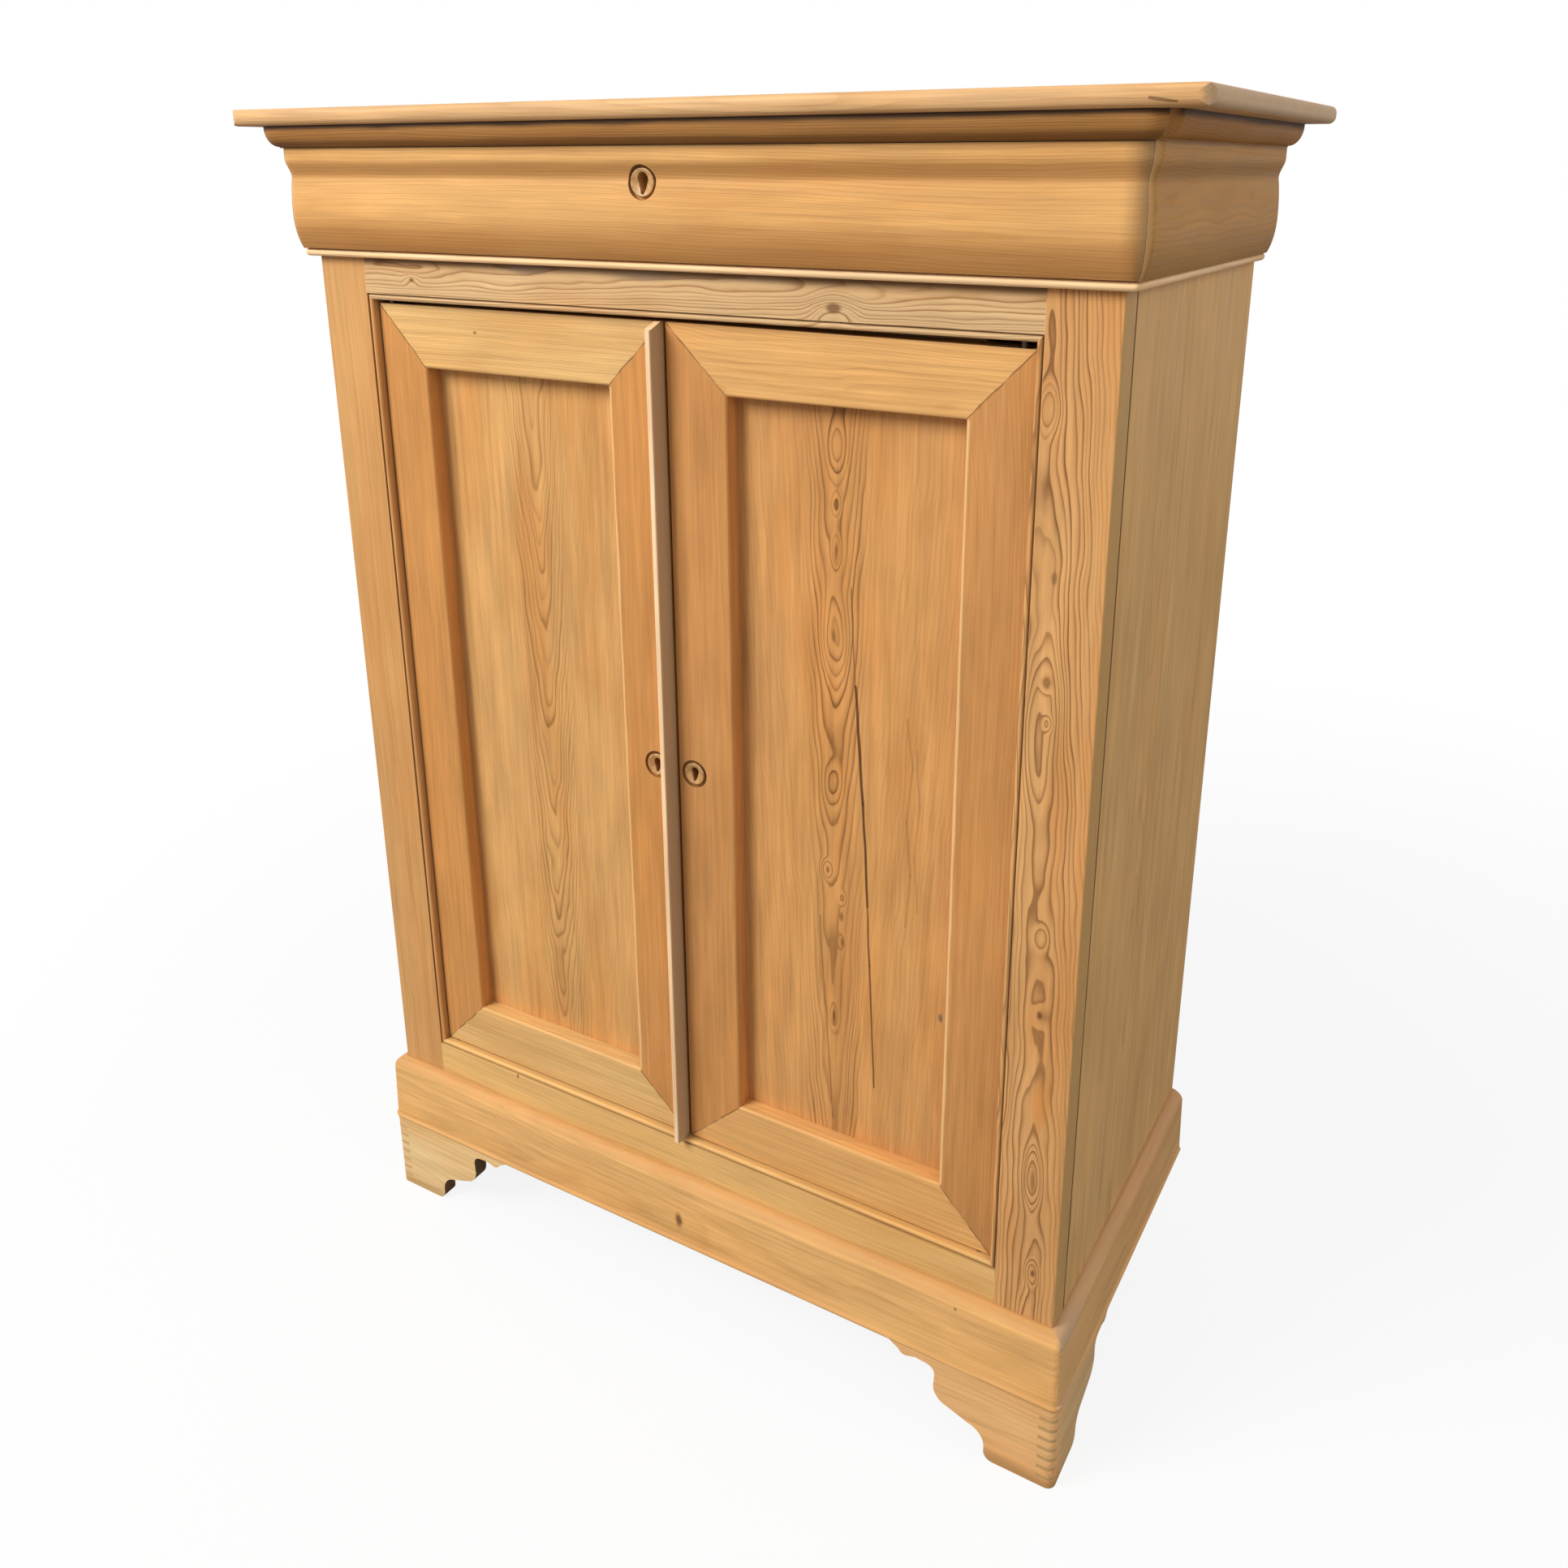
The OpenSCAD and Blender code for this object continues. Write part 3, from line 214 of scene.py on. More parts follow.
def summerWood(tree, look, trunk, directions):
    # 0 in spring wood and up to 1 at the end of a ring, some rings fainter than others
    rings = addNode(tree, "ShaderNodeMath", {
        0: trunk, 1: perMetre / look["ring"]}, operation="MULTIPLY").outputs[0]
    uneven = addNode(tree, "ShaderNodeTexNoise", {
        "W": rings, "Scale": grain["unevenScale"], "Detail": 1.0}, noise_dimensions="1D").outputs["Fac"]
    rings = addNode(tree, "ShaderNodeMath", {
        0: uneven, 1: grain["uneven"], 2: rings}, operation="MULTIPLY_ADD").outputs[0]
    phase = addNode(tree, "ShaderNodeMath", {0: rings}, operation="FRACT").outputs[0]
    number = addNode(tree, "ShaderNodeMath", {0: rings}, operation="FLOOR").outputs[0]
    chance = addNode(tree, "ShaderNodeTexWhiteNoise", {"W": number}, noise_dimensions="1D").outputs["Value"]
    strength = addNode(tree, "ShaderNodeMapRange", {
        "Value": chance, "To Min": grain["weakestRing"], "To Max": 1.0}).outputs[0]
    curve = addNode(tree, "ShaderNodeValToRGB", {"Fac": phase})
    setStops(curve.color_ramp, [(spot, (dark, dark, dark, 1)) for spot, dark in grain["ringShade"]])
    late = addNode(tree, "ShaderNodeMath", {
        0: curve.outputs[0], 1: strength}, operation="MULTIPLY").outputs[0]
    if look["band"]:
        side, middle, half = look["band"]
        start, end = (half * mm * share for share in grain["bandFade"])
        off = addNode(tree, "ShaderNodeMath", {0: directions[side], 1: -middle}, operation="ADD").outputs[0]
        off = addNode(tree, "ShaderNodeMath", {0: off}, operation="ABSOLUTE").outputs[0]
        shown = addNode(tree, "ShaderNodeMapRange", {
            "Value": off, "From Min": start, "From Max": end, "To Min": 1.0, "To Max": look["bandRest"]},
            interpolation_type="SMOOTHSTEP").outputs[0]
        late = addNode(tree, "ShaderNodeMath", {0: late, 1: shown}, operation="MULTIPLY").outputs[0]
    return late


def fineStreaks(tree, look, spread):
    # fibres along the grain
    thick = perMetre / look["streak"]
    at = addNode(tree, "ShaderNodeVectorMath", {
        0: spread, 1: (thick, thick, grain["streakAlong"]), 2: (look["seed"] * 7.7, 0, 0)},
        operation="MULTIPLY_ADD").outputs[0]
    return addNode(tree, "ShaderNodeTexNoise", {
        "Vector": at, "Scale": 1.0, "Detail": 4.0, "Roughness": 0.65}).outputs["Fac"]


def shadeBy(tree, colour, noise, amount):
    # lighter and darker by the same amount as a noise goes up and down
    low, high = grain["noiseFade"]
    tone = addNode(tree, "ShaderNodeMapRange", {
        "Value": noise, "From Min": low, "From Max": high, "To Min": 1 - amount, "To Max": 1 + amount},
        clamp=False).outputs[0]
    return addNode(tree, "ShaderNodeVectorMath", {0: colour, 1: tone}, operation="MULTIPLY").outputs[0]


def woodColour(tree, look, spread, late, streaks):
    # spring wood with patches of yellowed wax and of grey, then summer wood, streaks and blotches
    seed = look["seed"]
    at = addNode(tree, "ShaderNodeVectorMath", {
        0: spread, 1: grain["patchScale"], 2: (seed * 2.9, seed * 4.3, seed)},
        operation="MULTIPLY_ADD").outputs[0]
    patches = addNode(tree, "ShaderNodeTexNoise", {
        "Vector": at, "Scale": 1.0, "Detail": 3.5, "Roughness": 0.6}).outputs["Color"]
    patch = addNode(tree, "ShaderNodeSeparateXYZ", {0: patches}).outputs
    colour = hexColour(look["early"])
    start, end = grain["patchFade"]
    tints = ((patch[0], look["warm"], look["warmShare"]), (patch[1], look["grey"], look["greyShare"]))
    for value, tint, share in tints:
        mask = addNode(tree, "ShaderNodeMapRange", {
            "Value": value, "From Min": start, "From Max": end, "To Min": 0.0, "To Max": share},
            interpolation_type="SMOOTHSTEP").outputs[0]
        colour = addNode(tree, "ShaderNodeMix", {
            0: mask, 6: colour, 7: hexColour(tint)}, data_type="RGBA").outputs[2]
    lateShown = addNode(tree, "ShaderNodeMath", {
        0: late, 1: look["lateShare"]}, operation="MULTIPLY").outputs[0]
    colour = addNode(tree, "ShaderNodeMix", {
        0: lateShown, 6: colour, 7: hexColour(look["late"])}, data_type="RGBA").outputs[2]
    colour = shadeBy(tree, colour, streaks, look["fibre"])

    at = addNode(tree, "ShaderNodeVectorMath", {
        0: spread, 1: grain["blotchScale"], 2: (seed * 1.9, 0, seed)}, operation="MULTIPLY_ADD").outputs[0]
    blotches = addNode(tree, "ShaderNodeTexNoise", {
        "Vector": at, "Scale": 1.0, "Detail": 3.0}).outputs["Fac"]
    colour = shadeBy(tree, colour, blotches, look["mottle"])
    return addNode(tree, "ShaderNodeVectorMath", {
        0: colour, 1: look["tone"]}, operation="MULTIPLY").outputs[0]


# stains and patches of painted shade, each fading out over its reach; then the dark knots
def addStainsAndShade(tree, look, colour, roughPlace, knotDark):
    start, end = grain["stainAndShadeFade"]
    for spot, reach, tint, share in look["stainsAndShade"]:
        gap = reachFrom(tree, roughPlace, spot, reach)
        mask = addNode(tree, "ShaderNodeMapRange", {
            "Value": gap, "From Min": start, "From Max": end, "To Min": share, "To Max": 0.0},
            interpolation_type="SMOOTHSTEP").outputs[0]
        colour = addNode(tree, "ShaderNodeMix", {
            0: mask, 6: colour, 7: hexColour(tint)}, data_type="RGBA").outputs[2]
    if knotDark is not None:
        mask = addNode(tree, "ShaderNodeMath", {
            0: knotDark, 1: grain["knotShare"]}, operation="MULTIPLY").outputs[0]
        colour = addNode(tree, "ShaderNodeMix", {
            0: mask, 6: colour, 7: hexColour(grain["knotColour"])}, data_type="RGBA").outputs[2]
    return colour


def addCutFacesAndShade(tree, look, colour, normal):
    # faces that the saw or hands have left in another colour, and faces given painted shade by the way that
    # they turn to the light, told by the way that they face
    start, end = grain["facingFade"]
    for direction, tint, share in look["facing"]:
        turned = addNode(tree, "ShaderNodeVectorMath", {
            0: normal, 1: direction}, operation="DOT_PRODUCT").outputs["Value"]
        mask = addNode(tree, "ShaderNodeMapRange", {
            "Value": turned, "From Min": start, "From Max": end, "To Min": 0.0, "To Max": share}).outputs[0]
        colour = addNode(tree, "ShaderNodeMix", {
            0: mask, 6: colour, 7: hexColour(tint)}, data_type="RGBA").outputs[2]
    return colour


def addRubbedCorners(tree, look, colour, normal, shade):
    # corners are paler where hands can reach them
    soft = addNode(tree, "ShaderNodeBevel", {"Radius": grain["corner"] * mm}, samples=6).outputs[0]
    square = addNode(tree, "ShaderNodeVectorMath", {
        0: soft, 1: normal}, operation="DOT_PRODUCT").outputs["Value"]
    start, end = grain["cornerFade"]
    worn = addNode(tree, "ShaderNodeMapRange", {
        "Value": square, "From Min": start, "From Max": end,
        "To Min": 0.0, "To Max": look["wornShare"]}).outputs[0]
    start, end = grain["clearFade"]
    clear = addNode(tree, "ShaderNodeMapRange", {
        "Value": shade, "From Min": start, "From Max": end, "To Min": 0.0, "To Max": 1.0}).outputs[0]
    worn = addNode(tree, "ShaderNodeMath", {0: worn, 1: clear}, operation="MULTIPLY").outputs[0]
    tint = [w * t for w, t in zip(hexColour(look["worn"]), (*look["tone"], 1))]
    return addNode(tree, "ShaderNodeMix", {0: worn, 6: colour, 7: tint}, data_type="RGBA").outputs[2]


def addLines(tree, look, colour, roughPlace):
    # each line is drawn by the distance from its nearest point
    start, end = grain["lineFade"]
    for first, last, half, tint, share in look["lines"]:
        run = Vector(last) - Vector(first)
        away = addNode(tree, "ShaderNodeVectorMath", {
            0: roughPlace, 1: first}, operation="SUBTRACT").outputs[0]
        done = addNode(tree, "ShaderNodeVectorMath", {
            0: away, 1: run}, operation="DOT_PRODUCT").outputs["Value"]
        done = addNode(tree, "ShaderNodeMapRange", {"Value": done, "From Max": run.length_squared}).outputs[0]
        near = addNode(tree, "ShaderNodeVectorMath", {0: run, "Scale": done}, operation="SCALE").outputs[0]
        gap = addNode(tree, "ShaderNodeVectorMath", {0: away, 1: near}, operation="DISTANCE").outputs["Value"]
        mask = addNode(tree, "ShaderNodeMapRange", {
            "Value": gap, "From Min": half * mm * start, "From Max": half * mm * end,
            "To Min": share, "To Max": 0.0}, interpolation_type="SMOOTHSTEP").outputs[0]
        colour = addNode(tree, "ShaderNodeMix", {
            0: mask, 6: colour, 7: hexColour(tint)}, data_type="RGBA").outputs[2]
    return colour


def addShadeAndGrime(tree, look, colour, shade):
    # painted shade darkens where little light reaches, and stands also for dirt kept there
    start, end = grain["shadeAndGrimeFade"]
    mask = addNode(tree, "ShaderNodeMapRange", {
        "Value": shade, "From Min": start, "From Max": end, "To Min": look["shadeAndDirt"], "To Max": 0.0}).outputs[0]
    return addNode(tree, "ShaderNodeMix", {
        0: mask, 6: colour, 7: hexColour(grain["shadeAndGrime"])}, data_type="RGBA").outputs[2]


def pineMaterial(name, changes):
    look = {**pine, **changes}
    material, tree, output = newMaterial(name)
    place = addNode(tree, "ShaderNodeTexCoord").outputs["Object"]
    normal = addNode(tree, "ShaderNodeNewGeometry").outputs["Normal"]
    shade = addNode(tree, "ShaderNodeAmbientOcclusion", {
        "Distance": grain["shelter"] * mm}, samples=8).outputs["AO"]
    # a and b lie across the grain and c along it
    xyz = addNode(tree, "ShaderNodeSeparateXYZ", {0: place}).outputs
    a, b, c = (xyz[axis] for axis in {"x": "YZX", "y": "ZXY", "z": "XYZ"}[look["along"]])
    spread = addNode(tree, "ShaderNodeCombineXYZ", {0: a, 1: b, 2: c}).outputs[0]
    strayed, ripple = strayRings(tree, look, spread)
    roughPlace = addNode(tree, "ShaderNodeVectorMath", {0: ripple, 1: place}, operation="ADD").outputs[0]

    trunk, knotDark = trunkDistance(tree, look, place, strayed, c)
    late = summerWood(tree, look, trunk, (a, b))
    streaks = fineStreaks(tree, look, spread)
    colour = woodColour(tree, look, spread, late, streaks)
    colour = addStainsAndShade(tree, look, colour, roughPlace, knotDark)
    colour = addCutFacesAndShade(tree, look, colour, normal)
    colour = addRubbedCorners(tree, look, colour, normal, shade)
    colour = addLines(tree, look, colour, roughPlace)
    colour = addShadeAndGrime(tree, look, colour, shade)

    # summer wood stands a little proud, and the streaks are rougher
    height = addNode(tree, "ShaderNodeMath", {
        0: streaks, 1: grain["streakRelief"], 2: late}, operation="MULTIPLY_ADD").outputs[0]
    bump = addNode(tree, "ShaderNodeBump", {
        "Height": height, "Distance": look["relief"] * mm, "Strength": grain["bumpStrength"]}).outputs[0]
    start, end = grain["noiseFade"]
    rough = addNode(tree, "ShaderNodeMapRange", {
        "Value": streaks, "From Min": start, "From Max": end,
        "To Min": look["rough"] - grain["smoother"], "To Max": look["rough"] + grain["rougher"]}).outputs[0]
    shader = addNode(tree, "ShaderNodeBsdfPrincipled", {
        "Base Color": colour, "Roughness": rough, "Normal": bump,
        "IOR": 1.45, "Specular IOR Level": look["gloss"]})
    tree.links.new(shader.outputs[0], output.inputs[0])
    return material


# Turned fruitwood, pale and close-grained, rubbed smooth by keys
ringWood = {
    "spots": [(0.3, "#A87844"), (0.7, "#D4A468")],
    "spotScale": 260.0,         # per metre, so about 4 mm wide
    "shelter": 6,               # mm within which the grooves get painted shade and dirt
    "grooveFade": (0.3, 0.9),   # light that reaches them
    "grooves": 0.45,            # how dark they are
    "rough": 0.42,
}


def ringWoodMaterial():
    material, tree, output = newMaterial("rubbedFruitwood")
    place = addNode(tree, "ShaderNodeTexCoord").outputs["Object"]
    noise = addNode(tree, "ShaderNodeTexNoise", {
        "Vector": place, "Scale": ringWood["spotScale"], "Detail": 3.0}).outputs["Fac"]
    tone = addNode(tree, "ShaderNodeValToRGB", {"Fac": noise})
    setStops(tone.color_ramp, [(spot, hexColour(code)) for spot, code in ringWood["spots"]])
    # painted shade, standing also for dirt, darkens the grooves
    shade = addNode(tree, "ShaderNodeAmbientOcclusion", {
        "Distance": ringWood["shelter"] * mm}, samples=8).outputs["AO"]
    start, end = ringWood["grooveFade"]
    dark = addNode(tree, "ShaderNodeMapRange", {
        "Value": shade, "From Min": start, "From Max": end,
        "To Min": ringWood["grooves"], "To Max": 1.0}).outputs[0]
    toned = addNode(tree, "ShaderNodeVectorMath", {
        0: tone.outputs[0], 1: dark}, operation="MULTIPLY").outputs[0]
    shader = addNode(tree, "ShaderNodeBsdfPrincipled", {
        "Base Color": toned, "Roughness": ringWood["rough"], "IOR": 1.5})
    tree.links.new(shader.outputs[0], output.inputs[0])
    return material


# Forged iron, blackened and dull, with brown bloom
iron = {
    "bloom": [(0.35, "#4A4641"), (0.7, "#7A5A40")],
    "bloomScale": 120.0,    # per metre, so about 8 mm wide
    "rough": (0.35, 0.75),  # bare and under the bloom
    "pitted": 0.2,          # mm
}


def ironMaterial():
    material, tree, output = newMaterial("blackenedForgedIron")
    place = addNode(tree, "ShaderNodeTexCoord").outputs["Object"]
    bloom = addNode(tree, "ShaderNodeTexNoise", {
        "Vector": place, "Scale": iron["bloomScale"], "Detail": 4.0}).outputs["Fac"]
    tone = addNode(tree, "ShaderNodeValToRGB", {"Fac": bloom})
    setStops(tone.color_ramp, [(spot, hexColour(code)) for spot, code in iron["bloom"]])
    bare, bloomed = iron["rough"]
    rough = addNode(tree, "ShaderNodeMapRange", {
        "Value": bloom, "To Min": bare, "To Max": bloomed}).outputs[0]
    bump = addNode(tree, "ShaderNodeBump", {
        "Height": bloom, "Distance": iron["pitted"] * mm, "Strength": 0.5}).outputs[0]
    shader = addNode(tree, "ShaderNodeBsdfPrincipled", {
        "Base Color": tone.outputs[0], "Metallic": 0.9, "Roughness": rough, "Normal": bump})
    tree.links.new(shader.outputs[0], output.inputs[0])
    return material


def finish(material, *names):
    for name in names:
        slots = nodes[name].data.materials
        if len(slots) == 0:
            slots.append(material)
        for i in range(len(slots)):
            slots[i] = material


# Fronts that marks are drawn on, y in m
frameFace = -0.2
doorFace = -0.1915
panelFace = -0.1715

# Directions that a face can look in
forward = (0, -1, 0)
rightward = (1, 0, 0)
leftward = (-1, 0, 0)
upward = (0, 0, 1)


def onFace(y, *marks):
    # marks given by x and z, set on the front at y
    return [((x, y, z), *rest) for x, z, *rest in marks]


def levelBand(y, z, half, tint, share, depth=300):
    # a band along the whole board, most often painted shade; half is its reach up and down and depth its
    # reach inwards, in mm
    return (0, y, z), (4000, depth, half), tint, share


# The doors' frames in m, for the mitred joints and the painted highlights on the inner edges drawn on them
door = {
    "hingeEdge": (0.3845, 0.3215),    # x of a frame's outer and inner edge beside its hinges
    "meetingEdge": (0.0015, 0.0715),  # and beside the joint of the doors
    "topEdge": (1.201, 1.133),        # z of the outer and inner edge
    "bottomEdge": (0.250, 0.315),
    "joint": (0.8, "#7E5128", 0.75),  # half width in mm, colour and strength of a joint
    "edgeHighlight": (3.0, "#F6C98C", 0.7),  # and of the painted highlight on an inner edge
    "edgeHighlightFrom": 0.318,
    "edgeHighlightTo": 1.130,
}


def doorLines(turn, drop, edgeHighlightX):
    # turn is -1 for the left door and 1 for the right one; drop is how far its outer top corner hangs
    lines = []
    for (outerX, innerX), sag in ((door["hingeEdge"], drop), (door["meetingEdge"], 0)):
        for (outerZ, innerZ), lowered in ((door["topEdge"], sag), (door["bottomEdge"], 0)):
            outer = (turn * outerX, doorFace, outerZ - lowered)
            inner = (turn * innerX, doorFace, innerZ)
            lines.append((outer, inner, *door["joint"]))
    # a painted highlight along the inner edge beside the panel
    ends = ((edgeHighlightX, doorFace, door["edgeHighlightFrom"]), (edgeHighlightX, doorFace, door["edgeHighlightTo"]))
    return lines + [(*ends, *door["edgeHighlight"])]


def wanderingLines(y, *marks):
    # each mark has a half width, a colour, a strength and the (x, z) points that it runs through
    lines = []
    for half, tint, share, points in marks:
        spots = [(x, y, z) for x, z in points]
        lines += [(first, last, half, tint, share) for first, last in zip(spots, spots[1:])]
    return lines


# each door's painted highlight runs along the inner edge on the right of its panel
leftDoorLines = doorLines(-1, drop=0, edgeHighlightX=-0.0705)
rightDoorLines = doorLines(1, drop=0.003, edgeHighlightX=0.3225)

# The right panel's cracks, and last the two lines of its fainter figure
panelLines = wanderingLines(
    panelFace,
    (0.9, "#7A4E26", 0.6, [(0.1985, 0.955), (0.2046, 0.853)]),
    (1.5, "#4E3018", 0.9, [(0.2046, 0.853), (0.2149, 0.728), (0.2215, 0.610)]),
    (1.1, "#5A381C", 0.8, [(0.2215, 0.610), (0.2254, 0.541), (0.2327, 0.391)]),
    (0.9, "#7A4E26", 0.6, [(0.1649, 0.584), (0.1770, 0.410), (0.1820, 0.331)]),
    (1.4, "#A5733E", 0.5, [(0.262, 0.83), (0.270, 0.78), (0.264, 0.72), (0.270, 0.66), (0.266, 0.60)]),
    (1.4, "#A5733E", 0.4, [(0.274, 0.80), (0.278, 0.74), (0.275, 0.68), (0.279, 0.62)]))

# What the boards of a pair or a group share
# ovolo sides: darkened all over as painted shade under the top, with a painted shadow right under it; paler
# where they face forward
ovoloSide = {
    "along": "y", "ring": 2.8, "tone": (0.58, 0.47, 0.30), "gloss": 0.08,
    "stainsAndShade": [levelBand(-0.1, 1.3855, 8, "#3A2412", 0.9, depth=3000)],
    "facing": [(forward, "#A87446", 0.9)]}
# cornice sides: painted shade in the hollow and at the foot of the swell, and a dark line along the top
corniceSide = {
    "along": "y", "ring": 3.0, "wander": 4, "sway": 1.5, "lateShare": 0.3,
    "wornShare": 0.1, "shadeAndDirt": 0.0, "gloss": 0.08,
    "stainsAndShade": [levelBand(-0.1, 1.3400, 12, "#8A6234", 0.45, depth=3000),
               levelBand(-0.1, 1.2600, 40, "#86602F", 0.4, depth=3000),
               levelBand(-0.1, 1.3670, 9, "#5E3A1B", 0.7, depth=3000)],
    "facing": [(forward, "#CA9C68", 0.9)]}
bead = {
    "ring": 2.5, "lateShare": 0.2, "early": "#F6D2A6", "shadeAndDirt": 0.1, "wornShare": 0.2}
footFront = {
    "along": "x", "ring": 4.4, "lateShare": 0.25, "wornShare": 0.2, "shadeAndDirt": 0.0}
footSide = {
    "along": "y", "ring": 4.4, "lateShare": 0.25, "wornShare": 0.0, "shadeAndDirt": 0.0}
sideBoard = {
    "along": "z", "ring": 3.2, "lateShare": 0.3, "greyShare": 0.12, "warmShare": 0.2,
    "fibre": 0.12, "streak": 11, "mottle": 0.06, "gloss": 0.08}
doorStile = {
    "along": "z", "ring": 2.4, "early": "#D6975A", "lateShare": 0.3,
    "fibre": 0.14, "mottle": 0.08, "shadeAndDirt": 0.25}
doorRail = {
    "along": "x", "fibre": 0.16, "streak": 3.5, "shadeAndDirt": 0.25}
doorPanel = {
    "along": "z", "wander": 3, "swayAcross": 34, "bandRest": 0.2, "mottle": 0.09, "fibre": 0.15, "shadeAndDirt": 0.1}
bareBoard = {
    "early": "#CDAA7C", "warmShare": 0.2}

sawnScroll = ("#4A3020", 0.85)    # dirt on the sawn edges of the feet, with painted shade on the scrolls' lower faces
